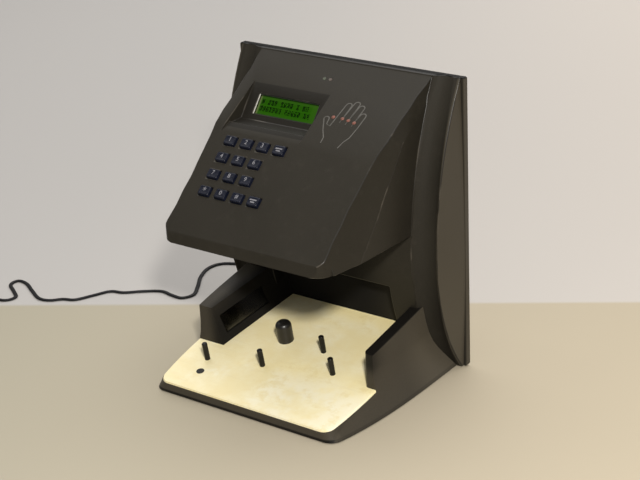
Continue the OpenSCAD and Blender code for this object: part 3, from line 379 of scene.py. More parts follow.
def housing_areas(made):
    """Painted shade in a black recess, a darker display pocket and a dark top edge; painted light on pale
    sides, paler further down; and a more matt recess, pocket and hollows.
    """
    x, y, z = made.axes()
    recess = recess_shade(made, x, y, z)
    side = made.ramp(abs(x), 0.1235, 0.1255)
    hollow = made.ramp(abs(x), 0.0995, 0.103) * (1.0 - side) * made.ramp(y, 0.035, 0.05)
    across, rise, out = flat_on(made, panel)
    # The sunk display pocket is darkened, which is painted shade, and made a little more matt.
    pocket_shade = (out < -0.0006) * (out > -0.03) * (across > -0.081) * (across < 0.02)
    pocket_shade = pocket_shade * (rise > -0.1) * (rise < -0.03)
    # The top edge is painted dark, which is painted shade.
    top = made.ramp(z, 0.2951, 0.2956)
    # The outer sides are painted pale, more so lower down, which is painted light.
    painted_pale_side = side * (made.ramp(z, 0.16, 0.02) * 0.2 + 0.42)
    return recess * 0.85 + pocket_shade * 0.42 + top * 0.8, painted_pale_side, recess * 0.3 + hollow * 0.3 + pocket_shade * 0.1


def on_long_crease(middle, angle):
    """The long edge down each side of the head, where its two facets meet."""
    return angle > 9.0 and middle.z > 0.152 and abs(abs(middle.x) - 0.1) < 0.0015 and middle.y < 0.04


# Edge finish: darker than the housing, which paints a dark line along the rounded edges as painted shade, and
# pale and shinier in patches, which are wear and painted highlights. The recess is painted black here too, as
# painted shade.
edge_grey = Finish("edge_grey", 0.34, Specular_IOR_Level=0.35)
glint_and_wear = edge_grey.ramp(edge_grey.noise(26.0, 4.0, rough=0.6), 0.5, 0.66)
edge_colour = edge_grey.mix(glint_and_wear, tint(0.0135, 0.0118, 0.009), tint(0.055, 0.048, 0.038))
edge_colour = edge_grey.mix(recess_shade(edge_grey, *edge_grey.axes()), edge_colour, tint(0.003, 0.003, 0.003))
edge_grey.feed("Base Color", edge_colour)
edge_grey.feed("Roughness", glint_and_wear * -0.1 + 0.38)
edge_grey.relief(edge_grey.noise(1300.0, 2.0), 0.1, 0.0002)
housing_grey = moulded_grey("housing_grey", tint(0.0236, 0.0207, 0.0154), tint(0.0212, 0.0187, 0.0139),
                            0.43, housing_areas)
softened("housing", ["front_housing"], housing_grey, 0.0009, segments=3, sharp=50.0,
         crease=on_long_crease, painted_edge_finish=edge_grey)
softened("head_underside", ["head_floor"], housing_grey, 0.0005)


# Base: a wedge that flares to its foot, with a thin cheek on the right and a leaning one on the left.
# It is moulded in the housing's plastic, painted here about twice as light as the housing, which is painted
# light, and is closed below by a flat dark cover.
def base_areas(made):
    """Painted shade in a black recess, a dark line along the foot, weaker on the flanks, and a dark ledge on
    the right cheek; painted light on flanks paler towards the back and a paler front face; and a more matt
    recess.
    """
    x, y, z = made.axes()
    recess = recess_shade(made, x, y, z)
    flank = made.ramp(abs(x), 0.1035, 0.1055)
    # The dark band along the foot, weaker on the flanks, is a painted contact shadow.
    line = made.ramp(z, 0.0044, 0.0036) * (1.0 - flank * 0.7)
    # The right cheek's top is painted dark, which is painted shade under the head.
    ledge_shade = made.ramp(x, 0.1046, 0.103) * made.ramp(x, 0.088, 0.094) * made.ramp(z, 0.035, 0.05)
    shade = recess + line * (1.0 - recess)
    # The flanks, more so towards the back, and the front face are painted pale, which is painted light.
    pale = flank * (made.ramp(y, 0.01, 0.06) * 0.55 + 0.16) + made.ramp(y, -0.086, -0.09) * 0.15
    return (shade + ledge_shade * (1.0 - shade)) * 0.85, pale, recess * 0.3


# The base's plastic is coloured about twice as light as the housing's, which is painted light.
base_grey_painted_light = moulded_grey("base_grey_painted_light", tint(0.047, 0.041, 0.031), tint(0.0435, 0.0378, 0.0286),
                         0.43, base_areas)
softened("base", ["base_shell"], base_grey_painted_light, 0.0009, segments=3, sharp=32.0)
cover_black = moulded_grey("cover_black", tint(0.02, 0.019, 0.018), tint(0.014, 0.014, 0.013), 0.6)
softened("base_closing", ["base_cover"], cover_black, 0.0004)

# Platen: a cream sheet that throws the light back to the camera in the head. It is laid on the
# base, and hands have left it mottled, yellowed and stained, and rubbed pale along the front.
cream = Finish("platen_cream", 0.42, Specular_IOR_Level=0.4)
_, py, _ = cream.axes()
mottle = cream.ramp(cream.noise(22.0, 5.0, rough=0.6), 0.35, 0.7)
fine = cream.ramp(cream.noise(140.0, 4.0, rough=0.6), 0.4, 0.75)
wear = cream.ramp(cream.noise(9.0, 3.0), 0.45, 0.65)
worn_middle = cream.ramp(py, -0.085, -0.02) * wear
paint = cream.mix(mottle, tint(0.9, 0.79, 0.46), tint(0.97, 0.91, 0.66))
paint = cream.mix(worn_middle * 0.75, paint, tint(0.97, 0.83, 0.41))
paint = cream.mix(fine * 0.25, paint, tint(0.88, 0.75, 0.41))
strokes = cream.node("ShaderNodeMapping", {}, {
    "Vector": cream.place, "Rotation": (0.0, 0.0, 0.5), "Scale": (20.0, 320.0, 60.0)})
drag = cream.ramp(cream.noise(1.0, 3.0, strokes), 0.55, 0.75)
paint = cream.mix(drag * 0.14, paint, tint(0.7, 0.6, 0.37))
bare = cream.ramp(cream.noise(13.0, 4.0, rough=0.7), 0.5, 0.62) * cream.ramp(py, -0.02, -0.06)
paint = cream.mix(bare * 0.6, paint, tint(0.98, 0.94, 0.76))
yellowed = cream.ramp(cream.noise(17.0, 5.0, strokes, 0.7), 0.5, 0.7) * cream.ramp(py, -0.07, -0.03)
paint = cream.mix(yellowed * 0.5, paint, tint(0.84, 0.69, 0.31))
stains = cream.ramp(cream.noise(48.0, 6.0, rough=0.7), 0.5, 0.66)
stains = stains * cream.ramp(cream.noise(11.0, 2.0), 0.4, 0.6)
paint = cream.mix(stains * 0.5, paint, tint(0.82, 0.68, 0.31))
whitened = cream.ramp(cream.noise(36.0, 6.0, strokes, 0.7), 0.52, 0.7)
paint = cream.mix(whitened * 0.35, paint, tint(1.0, 0.96, 0.72))
cream.feed("Base Color", paint)
cream.feed("Roughness", mottle * 0.12 + fine * 0.1 + 0.34)
cream.relief(fine * 0.6 + drag * 0.4, 0.06, 0.0003)
softened("reflecting_sheet", ["platen"], cream, 0.0004)

# Guide pins: four thin ones for the fingers and a thick one for the web of the thumb. They are
# turned dark plastic, polished in patches by use, and stand on spigots through the platen.
pin_dark = patchy("pin_dark", (120.0, 4.0, 0.4, 0.75), ((0.005, 0.0045, 0.004), (0.01, 0.009, 0.008)),
                  (0.26, 0.18), (700.0, 0.08, 0.0002), Specular_IOR_Level=0.25)
softened("thin_pins", ["finger_pins"], pin_dark, 0.0003)
pin_grey = patchy("pin_grey", (90.0, 4.0, 0.4, 0.75), ((0.0065, 0.0058, 0.005), (0.0115, 0.01, 0.0085)),
                  (0.3, 0.15), (800.0, 0.1, 0.0002))
softened("thumb_pin", ["web_pin"], pin_grey, 0.0003)
softened("sheet_plug", ["platen_plug"], pin_dark, 0.00025)

# Side mirror: a strip of dark coated glass that turns back infrared light, sunk in the left cheek so
# that the camera in the head also sees the hand from the side.
coated = patchy("coated_strip", (70.0, 4.0, 0.4, 0.8), ((0.22, 0.22, 0.23), (0.19, 0.19, 0.198)),
                (0.1, 0.06), Metallic=1.0)
softened("cheek_mirror", ["side_mirror"], coated, 0.0003)

# Display: a character display in the bottom of the sunken pocket. Its face is lit green glass with
# rows of dark dots, and a thin frame round it has a pale strip at the left.
pocket = panel @ Matrix.Translation((-0.037, -0.042, 0.0)) @ Matrix.Rotation(pocket_tilt - panel_tilt, 4, "X")
window = pocket @ Matrix.Translation((0.0016, -0.023, -0.003))

lit = Finish("lit_display", 0.2, Specular_IOR_Level=0.06)
across, rise, _ = flat_on(lit, window)
dot_w, dot_h = 0.00062, 0.00078
cell_w, cell_h = 6.0, 9.0
column = (across + 0.0305) / dot_w
line = (rise + 0.0062) / dot_h
dot_column, dot_line = math.floor(column), math.floor(line)
inside = (dot_column > -0.5) * (dot_column < 95.5) * (dot_line > -0.5) * (dot_line < 15.5)
cell = ((dot_column % cell_w) < 4.5) * ((dot_line % cell_h) < 6.5)
round_off = ((column - dot_column) > 0.06) * ((line - dot_line) > 0.06)
dot_spot = lit.node("ShaderNodeCombineXYZ", {}, {"X": dot_column, "Y": dot_line})
cell_spot = lit.node("ShaderNodeCombineXYZ", {}, {
    "X": math.floor(dot_column / cell_w), "Y": math.floor(dot_line / cell_h), "Z": 4.0})
struck = lit.node("ShaderNodeTexWhiteNoise", {}, {"Vector": dot_spot}, "Value") > 0.32
used = lit.node("ShaderNodeTexWhiteNoise", {}, {"Vector": cell_spot}, "Value") > 0.16
ink = inside * cell * round_off * struck * used
ghost = inside * cell * round_off * 0.12
edge_glow = lit.ramp(abs(across), 0.024, 0.035) + lit.ramp(abs(rise + 0.001), 0.005, 0.0095)
uneven = lit.noise(60.0, 3.0)
glow = lit.mix(uneven, tint(0.019, 0.128, 0.0006), tint(0.034, 0.158, 0.002))
glow = lit.mix(edge_glow * 0.25, glow, tint(0.07, 0.13, 0.025))
glow = lit.mix(lit.ramp(across, -0.0312, -0.0322) * 0.7, glow, tint(0.2, 0.24, 0.09))
glow = lit.mix(lit.ramp(across, -0.0332, -0.0338) * 0.9, glow, tint(0.004, 0.01, 0.002))
glow = lit.mix(ink * 0.88 + ghost, glow, tint(0.001, 0.01, 0.0003))
# A dark band along the top of the display is painted shadow from the pocket's upper lip.
glow = lit.mix(lit.ramp(rise, 0.0078, 0.0098) * 0.85, glow, tint(0.002, 0.006, 0.001))
lit.feed("Base Color", lit.mix(0.75, glow, tint(0.0, 0.0, 0.0)))
lit.feed("Emission Color", glow)
lit.shader.inputs["Emission Strength"].default_value = 0.34
softened("display_face", ["display_window"], lit, 0.0003)

module_dark = moulded_grey("module_dark", tint(0.02, 0.021, 0.022), tint(0.012, 0.013, 0.014), 0.5)
softened("display_back", ["display_module"], module_dark, 0.0003)

rim = Finish("display_rim", 0.4)
strip, _, _ = flat_on(rim, window)
grime = rim.ramp(rim.noise(400.0, 3.0), 0.4, 0.8)
pale = rim.mix(grime, tint(0.62, 0.6, 0.55), tint(0.4, 0.39, 0.36))
rim.feed("Base Color", rim.mix(strip > -0.0346, pale, tint(0.012, 0.013, 0.011)))
rim.feed("Roughness", grime * 0.2 + 0.32)


def frame_ring(name, spot, outer, inner, low, high):
    """Flat frame between two rectangles (x0, y0, x1, y1), on the face that spot stands on."""
    rings = []
    for (x0, y0, x1, y1), z in ((outer, low), (outer, high), (inner, high), (inner, low), (outer, low)):
        rings.append([spot @ Vector(p) for p in ((x0, y0, z), (x1, y0, z), (x1, y1, z), (x0, y1, z))])
    made = loft(name, rings, closed_ends=False)
    mesh = bmesh.new()
    mesh.from_mesh(made.data)
    bmesh.ops.remove_doubles(mesh, verts=mesh.verts, dist=1e-7)
    bmesh.ops.recalc_face_normals(mesh, faces=mesh.faces)
    mesh.to_mesh(made.data)
    mesh.free()
    made.data.shade_flat()
    return made


display_rim = frame_ring("display_rim", window, (-0.0356, -0.0103, 0.0356, 0.0103),
                         (-0.0349, -0.0098, 0.0352, 0.0098), 0.00165, 0.0024)
display_rim.data.materials.append(rim.material)
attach(display_rim, "clock")

# Keys: fourteen caps of dark blue-black plastic that pass through the sloping face and are held
# by a flange behind it. Their legends are printed: figures, a star, a hash, and plain bars.
keypad = Matrix.Translation((0.0, 0.005, 0.2445)) @ Matrix.Rotation(keypad_tilt, 4, "X")
keypad_x, top_row_y, pitch_x, pitch_y = -0.037, -0.0164, 0.0192, 0.0186
figure_size, star_size, figure_rise, star_drop, print_z = 0.0062, 0.0085, 0.0007, 0.0012, 0.00262
cap_dark = patchy("cap_dark", (260.0, 4.0, 0.4, 0.75), ((0.004, 0.0055, 0.0135), (0.008, 0.01, 0.021)),
                  (0.26, 0.16), (1800.0, 0.08, 0.0002), Specular_IOR_Level=0.27)
print_white = patchy("print_white", (700.0, 4.0, 0.5, 0.8), ((0.19, 0.19, 0.21), (0.118, 0.118, 0.1332)),
                     (0.4, 0.2))
caps = {"key_1": (0, 0, "1"), "key_2": (1, 0, "2"), "key_3": (2, 0, "3"), "key_clear": (3, 0, ""),
        "key_4": (0, 1, "4"), "key_5": (1, 1, "5"), "key_6": (2, 1, "6"),
        "key_7": (0, 2, "7"), "key_8": (1, 2, "8"), "key_9": (2, 2, "9"),
        "key_star": (0, 3, "*"), "key_0": (1, 3, "0"), "key_hash": (2, 3, "#"), "key_enter": (3, 3, "")}


def rounded(w, h, r, z, spot):
    """Points round a rectangle with rounded corners."""
    ring = []
    for corner, (sx, sy) in enumerate(((1, 1), (-1, 1), (-1, -1), (1, -1))):
        for k in range(5):
            a = math.pi / 2 * (corner + k / 4)
            x, y = sx * (w / 2 - r) + r * math.cos(a), sy * (h / 2 - r) + r * math.sin(a)
            ring.append(spot @ Vector((x, y, z)))
    return ring


def figure_mesh(figure, size):
    """A flat printed figure, a little bolder than its font."""
    curve = bpy.data.curves.new("figure", "FONT")
    curve.body = figure
    curve.size = size
    curve.align_x, curve.align_y = "CENTER", "CENTER"
    curve.offset = 0.00008
    carrier = bpy.data.objects.new("figure", curve)
    scene.collection.objects.link(carrier)
    data = bpy.data.meshes.new_from_object(carrier.evaluated_get(bpy.context.evaluated_depsgraph_get()))
    bpy.data.objects.remove(carrier)
    bpy.data.curves.remove(curve)
    return data


def add_bar(mesh, spot, x, y, w, h, z):
    """A flat printed bar in the legend's finish."""
    corners = [mesh.verts.new(spot @ Vector((x + sx * w / 2, y + sy * h / 2, z)))
               for sx, sy in ((-1, -1), (1, -1), (1, 1), (-1, 1))]
    mesh.faces.new(corners).material_index = 1


for name, (col, row, figure) in caps.items():
    spot = keypad @ Matrix.Translation((keypad_x + (col - 1.5) * pitch_x, top_row_y - row * pitch_y, 0.0))
    rings = [rounded(w / 1000, h / 1000, r / 1000, z / 1000, spot) for w, h, r, z in (
        (14.5, 11.5, 1.2, -4.6), (14.5, 11.5, 1.2, -3.3), (12.5, 9.5, 1.2, -3.3), (12.5, 9.5, 1.2, 1.4),
        (12.34, 9.34, 1.25, 1.95), (11.9, 8.9, 1.3, 2.35), (11.2, 8.2, 1.3, 2.58), (10.6, 7.6, 1.3, 2.6),
        (9.2, 6.2, 1.3, 2.52), (6.6, 3.8, 1.2, 2.44))]
    cap = loft("cap_" + name[4:], rings)
    mesh = bmesh.new()
    mesh.from_mesh(cap.data)
    if figure:
        size, drop = (star_size, star_drop) if figure == "*" else (figure_size, 0.0)
        letters = figure_mesh(figure, size)
        letters.transform(spot @ Matrix.Translation((0.0, figure_rise - drop, print_z)))
        first = len(mesh.faces)
        mesh.from_mesh(letters)
        mesh.faces.ensure_lookup_table()
        for face in mesh.faces[first:]:
            face.material_index = 1
            face.smooth = False
        bpy.data.meshes.remove(letters)
    else:
        add_bar(mesh, spot, 0.0, 0.0012, 0.0078, 0.0013, print_z)
        add_bar(mesh, spot, 0.0, -0.0012, 0.0048, 0.0013, print_z)
    mesh.to_mesh(cap.data)
    mesh.free()
    cap.data.materials.append(cap_dark.material)
    cap.data.materials.append(print_white.material)
    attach(cap, name)
    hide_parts(name)

# Status lamps: two small unlit lenses above the display, one green and one red. They are moulded in
# tinted plastic and pushed into the top panel from behind.
lens_tones = {"green": ((0.0575, 0.0705, 0.0465), (0.0725, 0.0735, 0.0555)),
              "red": ((0.08, 0.057, 0.0465), (0.08, 0.069, 0.0555))}
for hue, tones in lens_tones.items():
    lens = patchy("lens_" + hue, (500.0, 3.0, 0.35, 0.7), tones, (0.25, 0.2), Specular_IOR_Level=0.3)
    softened("lens_" + hue, ["status_lamp_" + hue], lens, 0.00045, segments=3)

# Placement sign: thin grey lines printed on the panel beside the display, a plain sign of a flat
# hand, with dull red spots for its indicator lamps.
sign_print = patchy("sign_print", (300.0, 4.0, 0.4, 0.75), ((0.068, 0.064, 0.055), (0.05, 0.047, 0.04)),
                    (0.42, 0.15))
sign_red = patchy("sign_red", (500.0, 3.0, 0.35, 0.7), ((0.19, 0.05, 0.027), (0.11, 0.043, 0.027)),
                  (0.3, 0.2))
sign_scale, sign_lean, line_half = 1.3, -0.12, 0.00042
sign = panel @ Matrix.Translation((0.041, -0.079, 0.0)) @ Matrix.Rotation(sign_lean, 4, "Z")
sign = sign @ Matrix.Diagonal((sign_scale, sign_scale, 1.0, 1.0))


def fingertip(x, top, half):
    """Half a circle from left to right."""
    angles = [math.pi * (1 - k / 8) for k in range(9)]
    return [(x + half * math.cos(a), top + half * math.sin(a)) for a in angles]


outline = [(-0.0065, -0.017), (-0.0075, -0.012), (-0.0125, -0.006)]
outline += fingertip(-0.0165, 0.0035, 0.0022)
outline += [(-0.0132, -0.0005), (-0.0096, -0.0015)]
for x, top in ((-0.0072, 0.0195), (-0.0016, 0.0225), (0.004, 0.0205), (0.0096, 0.0145)):
    outline += fingertip(x, top, 0.0024) + [(x + 0.0028, 0.0035)]
outline += [(0.012, -0.006), (0.0098, -0.0115), (0.0092, -0.017)]
rings = []
for i, (x, y) in enumerate(outline):
    (x0, y0), (x1, y1) = outline[max(i - 1, 0)], outline[min(i + 1, len(outline) - 1)]
    along = Vector((x1 - x0, y1 - y0)).normalized()
    wide = Vector((-along.y, along.x)) * line_half
    rings.append([sign @ Vector((x + s * wide.x, y + s * wide.y, z))
                  for s, z in ((-1, 0.00001), (1, 0.00001), (1, 0.00006), (-1, 0.00006))])
sign_lines = loft("sign_lines", rings)
sign_lines.data.shade_flat()
sign_lines.data.materials.append(sign_print.material)
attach(sign_lines, "clock")
round_angles = [k * math.pi / 8 for k in range(16)]
for number, (x, y) in enumerate(((-0.0122, 0.0065), (-0.0044, 0.0075), (0.0012, 0.0075), (0.0068, 0.007))):
    rings = [[sign @ Vector((x + r * math.cos(a), y + r * math.sin(a), z)) for a in round_angles]
             for r, z in ((0.0015, 0.00001), (0.0015, 0.0001), (0.0011, 0.0003), (0.0004, 0.00036))]
    spot_lens = loft("sign_spot_" + str(number + 1), rings)
    spot_lens.data.materials.append(sign_red.material)
    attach(spot_lens, "clock")

# Keypad inside: a moulded rubber mat with a dome under each key, laid on the green contact board. The
# board is carried by posts behind the housing's face.
mat_rubber = patchy("mat_rubber", (45.0, 4.0, 0.35, 0.75), ((0.07, 0.072, 0.075), (0.11, 0.11, 0.11)),
                    (0.55, 0.15), (1200.0, 0.15, 0.0003))
softened("contact_mat", ["keypad_mat"], mat_rubber, 0.0003)


def circuit(name, along, over):
    """Green circuit board: tracks run one way on a rough grid, with tinned pads where they end."""
    made = Finish(name, 0.36, Coat_Weight=0.3)
    axes = made.axes()
    lanes_per_m, blocks_per_m = 400.0, 70.0
    u, v = axes[along] * lanes_per_m, axes[over] * blocks_per_m
    lane = abs(u % 1.0 - 0.5)
    block_spot = made.node("ShaderNodeCombineXYZ", {}, {"X": math.floor(u), "Y": math.floor(v)})
    block = made.node("ShaderNodeTexWhiteNoise", {}, {"Vector": block_spot}, "Value")
    tracks = (lane < 0.2) * (block > 0.35)
    ends = abs(v % 1.0 - 0.5) < 0.08
    green = made.mix(made.noise(20.0, 3.0), tint(0.012, 0.075, 0.035), tint(0.016, 0.1, 0.045))
    green = made.mix(tracks * 0.6, green, tint(0.03, 0.2, 0.09))
    made.feed("Base Color", made.mix(ends * (lane < 0.28) * (block > 0.6), green, tint(0.6, 0.58, 0.5)))
    made.feed("Roughness", tracks * 0.08 + 0.3)
    made.relief(tracks, 0.2, 0.0001)
    return made


softened("contact_board", ["keypad_board"], circuit("keypad_circuit", 0, 1), 0.0002)

# Optics in the head: a dark infrared window, the board of infrared lamps behind it, and the camera
# with its lens on a second board above, all carried by posts on the head's floor.
night_glass = patchy("night_glass", (40.0, 4.0, 0.4, 0.8), ((0.008, 0.003, 0.004), (0.02, 0.009, 0.01)),
                     (0.05, 0.15), Specular_IOR_Level=0.6)
softened("infrared_window", ["optics_window"], night_glass, 0.0003)
optics_circuit = circuit("optics_circuit", 0, 1)
softened("lamp_board", ["infrared_board"], optics_circuit, 0.0002)
softened("sensor_board", ["camera_board"], optics_circuit, 0.0002)
barrel = Finish("lens_barrel", 0.4, Metallic=0.6)
_, _, barrel_z = barrel.axes()
ridges_per_m = 1600.0
ridge = abs((barrel_z * ridges_per_m) % 1.0 - 0.5)
barrel_dark, barrel_light = tint(0.012, 0.012, 0.013), tint(0.028, 0.028, 0.03)
barrel.feed("Base Color", barrel.mix(barrel.noise(200.0, 3.0), barrel_dark, barrel_light))
barrel.feed("Roughness", barrel.noise(150.0, 3.0) * 0.2 + 0.3)
barrel.relief(ridge, 0.5, 0.0003)
softened("lens_barrel", ["camera_lens"], barrel, 0.0004)


class Pattern:
    """A Geometry Nodes tree with named sizes that sets one shape at each point of a mesh."""

    def __init__(self, name, **sizes):
        self.tree = bpy.data.node_groups.new(name, "GeometryNodeTree")
        self.tree.interface.new_socket("Geometry", in_out="INPUT", socket_type="NodeSocketGeometry")
        self.tree.interface.new_socket("Geometry", in_out="OUTPUT", socket_type="NodeSocketGeometry")
        self.keys = {}
        for label, value in sizes.items():
            entry = self.tree.interface.new_socket(label, in_out="INPUT", socket_type="NodeSocketFloat")
            entry.default_value = value
            self.keys[label] = entry.identifier
        self.source = self.tree.nodes.new("NodeGroupInput")
        self.end = self.tree.nodes.new("NodeGroupOutput")

    def size(self, label):
        return Flow(self.tree, self.source.outputs[label])

    node = Finish.node

    def vector(self, x, y, z):
        return self.node("ShaderNodeCombineXYZ", {}, {"X": x, "Y": y, "Z": z})

    def moved(self, shape, x, y, z):
        return self.node("GeometryNodeTransform", {}, {
            "Geometry": shape, "Translation": self.vector(x, y, z)})

    def drum(self, radius, depth, low, sides=32, tip=None):
        """Round drum or cone of a depth that starts at height low."""
        if tip is None:
            made = self.node("GeometryNodeMeshCylinder", {}, {
                "Vertices": sides, "Radius": radius, "Depth": depth})
            return self.moved(made, 0.0, 0.0, depth * 0.5 + low)
        made = self.node("GeometryNodeMeshCone", {}, {
            "Vertices": sides, "Radius Bottom": radius, "Radius Top": tip, "Depth": depth})
        return self.moved(made, 0.0, 0.0, low)

    def joined(self, *shapes):
        made = self.tree.nodes.new("GeometryNodeJoinGeometry")
        for shape in reversed(shapes):
            self.tree.links.new(shape.socket, made.inputs[0])
        return Flow(self.tree, made.outputs[0])

    def cut(self, shape, tool):
        made = self.tree.nodes.new("GeometryNodeMeshBoolean")
        made.operation, made.solver = "DIFFERENCE", "EXACT"
        self.tree.links.new(shape.socket, made.inputs["Mesh 1"])
        self.tree.links.new(tool.socket, made.inputs["Mesh 2"])
        return Flow(self.tree, made.outputs[0])

    def close(self, shape, finish):
        """Set the shape at each point in its finish, and end the tree."""
        turn = self.node("FunctionNodeEulerToRotation", {}, {
            "Euler": self.vector(self.size("Turn"), 0.0, 0.0)})
        spread = self.node("GeometryNodeInstanceOnPoints", {}, {
            "Points": Flow(self.tree, self.source.outputs[0]), "Instance": shape, "Rotation": turn})
        real = self.node("GeometryNodeRealizeInstances", {}, {"Geometry": spread})
        last = self.node("GeometryNodeSetMaterial", {}, {"Geometry": real, "Material": finish.material})
        self.tree.links.new(last.socket, self.end.inputs[0])

    def make(self, name, points, node, slot, **sizes):
        """A piece grown from the points, as a plain mesh."""
        data = bpy.data.meshes.new(name)
        data.from_pydata(points, [], [])
        made = bpy.data.objects.new(name, data)
        scene.collection.objects.link(made)
        grown = made.modifiers.new("pattern", "NODES")
        grown.node_group = self.tree
        for label, value in sizes.items():
            grown[self.keys[label]] = value
        solid = bpy.data.meshes.new_from_object(made.evaluated_get(bpy.context.evaluated_depsgraph_get()))
        made.modifiers.remove(grown)
        made.data = solid
        bpy.data.meshes.remove(data)
        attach(made, "clock")
        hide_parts(node)


smoked = Finish("smoked_lamp", 0.1, Coat_Weight=0.4)
seed_depth = smoked.noise(600.0, 3.0)
smoked.feed("Base Color", smoked.mix(seed_depth, tint(0.02, 0.012, 0.03), tint(0.05, 0.03, 0.06)))
smoked.feed("Roughness", seed_depth * 0.12 + 0.06)
lamp = Pattern("infrared_lamp", Turn=0.0, Radius=0.0025, Length=0.004)
lamp_r, lamp_l = lamp.size("Radius"), lamp.size("Length")
ball = lamp.node("GeometryNodeMeshUVSphere", {}, {"Segments": 24, "Rings": 12, "Radius": lamp_r})
ball = lamp.node("GeometryNodeTransform", {}, {
    "Geometry": ball, "Translation": lamp.vector(0.0, 0.0, lamp_l * 0.5), "Scale": (1.0, 1.0, 0.8)})
collar = lamp.drum(lamp_r + 0.0004, 0.001, 0.0)
lamp.close(lamp.joined(collar, lamp.drum(lamp_r, lamp_l * 0.5, 0.0), ball), smoked)
lamp_x, lamp_mid_y, lamp_pitch, lamp_z = 0.022, -0.012, 0.011, 0.166
lamp_points = [(sx * lamp_x, lamp_mid_y + (i - 1.5) * lamp_pitch, lamp_z) for sx in (-1, 1) for i in range(4)]
lamp.make("infrared_lamps", lamp_points, "infrared_leds", "dark_glass",
          Turn=math.pi, Radius=0.0025, Length=0.004)

# Electronics in the column: the main board on posts from the wall plate, with its terminal block,
# sounder and supply jack, and three cells in shrink sleeve that keep the clock alive in a power cut.
softened("main_circuit", ["main_board"], circuit("main_circuit", 2, 0), 0.0002)
block_green = patchy("block_green", (150.0, 4.0, 0.4, 0.75), ((0.02, 0.13, 0.06), (0.03, 0.17, 0.08)),
                     (0.38, 0.15))
softened("wire_terminals", ["terminal_block"], block_green, 0.0004)
softened("sounder_can", ["sounder"], plug_black, 0.0006)
softened("supply_socket", ["power_jack"], plug_black, 0.0004)
sleeve = Finish("cell_sleeve", 0.3, Coat_Weight=0.3)
_, _, sleeve_z = sleeve.axes()
band = sleeve.ramp(sleeve_z, 0.0862, 0.0866) + sleeve.ramp(sleeve_z, 0.0498, 0.0494)
shrink = sleeve.ramp(sleeve.noise(180.0, 4.0), 0.35, 0.75)
film = sleeve.mix(shrink, tint(0.5, 0.49, 0.44), tint(0.4, 0.4, 0.37))
sleeve.feed("Base Color", sleeve.mix(band, film, tint(0.07, 0.13, 0.2)))
sleeve.feed("Roughness", shrink * 0.2 + 0.22)
sleeve.relief(shrink, 0.15, 0.0002)
softened("backup_cells", ["backup_battery"], sleeve, 0.0007, segments=3)

# Screws and feet: zinc-plated pan-head screws with a cross recess hold the plate, the head's floor
# and the base's cover, and moulded rubber feet are stuck under the base.
zinc = patchy("zinc_plate", (350.0, 4.0, 0.35, 0.75), ((0.62, 0.62, 0.6), (0.42, 0.41, 0.38)),
              (0.22, 0.25), Metallic=1.0)
screw = Pattern("pan_screw", Turn=0.0, Head=0.003, Height=0.002, Shank=0.0014, Length=0.01)
head_r, head_h, shank_r, screw_l = (screw.size(k) for k in ("Head", "Height", "Shank", "Length"))
crown = screw.drum(head_r * 0.78, head_h * 0.3, 0.0, 32, head_r)
rest = screw.drum(head_r, head_h * 0.7, head_h * 0.3)
arms = [screw.node("GeometryNodeMeshCube", {}, {"Size": screw.vector(a, b, head_h)})
        for a, b in ((head_r * 1.1, head_r * 0.24), (head_r * 0.24, head_r * 1.1))]
crown = screw.cut(crown, screw.joined(*arms))
thread_r = shank_r - 0.0001
turns_of_thread = screw.node("GeometryNodeCurveSpiral", {}, {
    "Resolution": 16, "Rotations": 7.0, "Start Radius": thread_r, "End Radius": thread_r,
    "Height": screw_l * 0.72})
ridge_shape = screw.node("GeometryNodeCurvePrimitiveCircle", {}, {"Resolution": 3, "Radius": 0.00018})
thread = screw.node("GeometryNodeCurveToMesh", {}, {
    "Curve": turns_of_thread, "Profile Curve": ridge_shape, "Fill Caps": True})
thread = screw.moved(thread, 0.0, 0.0, screw_l * 0.25)
point = screw.drum(shank_r, screw_l * 0.12, screw_l * 0.88, 24, shank_r * 0.5)
screw.close(screw.joined(crown, rest, screw.drum(shank_r, screw_l * 0.88, 0.0, 24), thread, point), zinc)


def both_sides(*points):
    """Points on the right with their mirror images on the left."""
    return [(sx * x, y, z) for sx in (-1, 1) for x, y, z in points]


screw.make("plate_fixings", both_sides((0.122, 0.0995, 0.034), (0.122, 0.0995, 0.236)),
           "plate_screws", "steel", Turn=math.pi / 2, Length=0.013)
screw.make("cover_fixings", both_sides((0.058, -0.078, 0.001), (0.084, 0.016, 0.001)),
           "base_screws", "steel", Turn=0.0, Length=0.01)
screw.make("floor_fixings", both_sides((0.086, 0.016, 0.151119), (0.08, -0.058, 0.153894)),
           "floor_screws", "steel", Turn=0.0, Length=0.011)
foot_rubber = patchy("foot_rubber", (200.0, 5.0, 0.4, 0.75), ((0.015, 0.015, 0.015), (0.04, 0.038, 0.035)),
                     (0.6, 0.2))
pad = Pattern("stuck_foot", Turn=0.0, Radius=0.007, Height=0.0015)
pad_r, pad_h = pad.size("Radius"), pad.size("Height")
dimple = pad.drum(pad_r * 0.4, pad_h * 0.3, pad_h * -0.1)
tread = pad.cut(pad.drum(pad_r - 0.0005, pad_h * 0.34, 0.0, 40, pad_r), dimple)
pad.close(pad.joined(tread, pad.drum(pad_r, pad_h * 0.66, pad_h * 0.34, 40)), foot_rubber)
pad.make("stuck_feet", both_sides((0.09, -0.084, 0.0), (0.102, 0.069, 0.0)),
         "rubber_feet", "rubber", Turn=0.0)

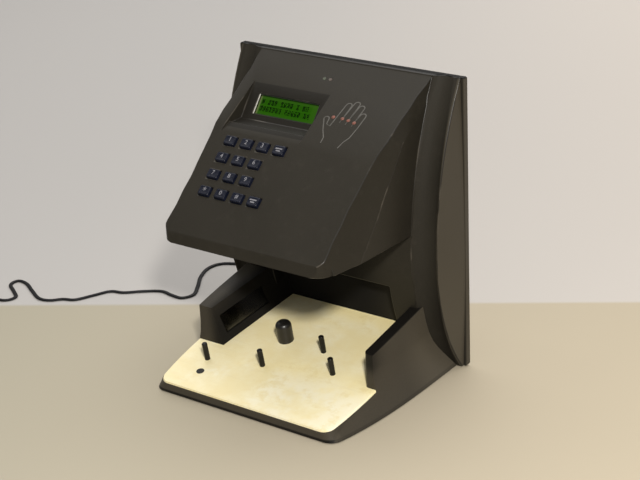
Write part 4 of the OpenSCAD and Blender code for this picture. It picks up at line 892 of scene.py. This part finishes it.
# Studio: a pale table, lit by a small lamp from the front right and by wide ones from above. Beyond
# the table's far edge is a pale wall, which is the same sheet in a cooler tone.
table = Finish("pale_table", 0.75, Specular_IOR_Level=0.2)
tx, ty, _ = table.axes()
edge_x, edge_y, edge_cos, edge_sin = -0.381, -0.043, 0.858, 0.514
beyond = (ty - edge_y) * edge_cos - (tx - edge_x) * edge_sin
sideways = (tx - edge_x) * edge_cos + (ty - edge_y) * edge_sin
# The table and the wall are painted lighter towards the right, which is painted light from that side.
near = table.mix(table.ramp(sideways, -0.2, 0.9), tint(0.393, 0.367, 0.292), tint(0.53, 0.458, 0.342))
near = table.mix(table.noise(5.0, 3.0) * 0.25, near, tint(0.42, 0.37, 0.28))
far = table.mix(table.ramp(sideways, 0.0, 1.1), tint(0.472, 0.458, 0.445), tint(0.622, 0.573, 0.522))
table.feed("Base Color", table.mix(table.ramp(beyond, -0.002, 0.006), near, far))
ground = bpy.data.meshes.new("table")
ground.from_pydata([(-4, -4, 0), (4, -4, 0), (4, 6, 0), (-4, 6, 0)], [], [(0, 1, 2, 3)])
ground.materials.append(table.material)
sheet = bpy.data.objects.new("table", ground)
scene.collection.objects.link(sheet)


def square_light(name, place, aim, size, power, colour):
    """A square light that faces the point it is aimed at."""
    data = bpy.data.lights.new(name, "AREA")
    data.size = size
    data.energy = power
    data.color = colour
    made = bpy.data.objects.new(name, data)
    made.location = place
    made.rotation_euler = (Vector(aim) - Vector(place)).to_track_quat("-Z", "Y").to_euler()
    scene.collection.objects.link(made)
    return made


key_light = square_light("key_light", (0.872, -0.96, 0.985), (0.0, 0.0, 0.12), 0.12, 23.0, (1.0, 0.96, 0.9))
ceiling = square_light("ceiling", (-0.6, 1.15, 2.2), (-0.6, 1.15, 0.0), 3.2, 48.0, (1.0, 0.98, 0.95))
wall_light = square_light("wall_light", (-0.6, 2.0, 1.5), (-0.6, 1.9, 0.0), 1.8, 10.0, (1.0, 0.98, 0.96))
world = bpy.data.worlds.new("studio")
world.use_nodes = True
world.node_tree.nodes["Background"].inputs["Color"].default_value = (1.0, 0.98, 0.95, 1.0)
world.node_tree.nodes["Background"].inputs["Strength"].default_value = 0.3
scene.world = world
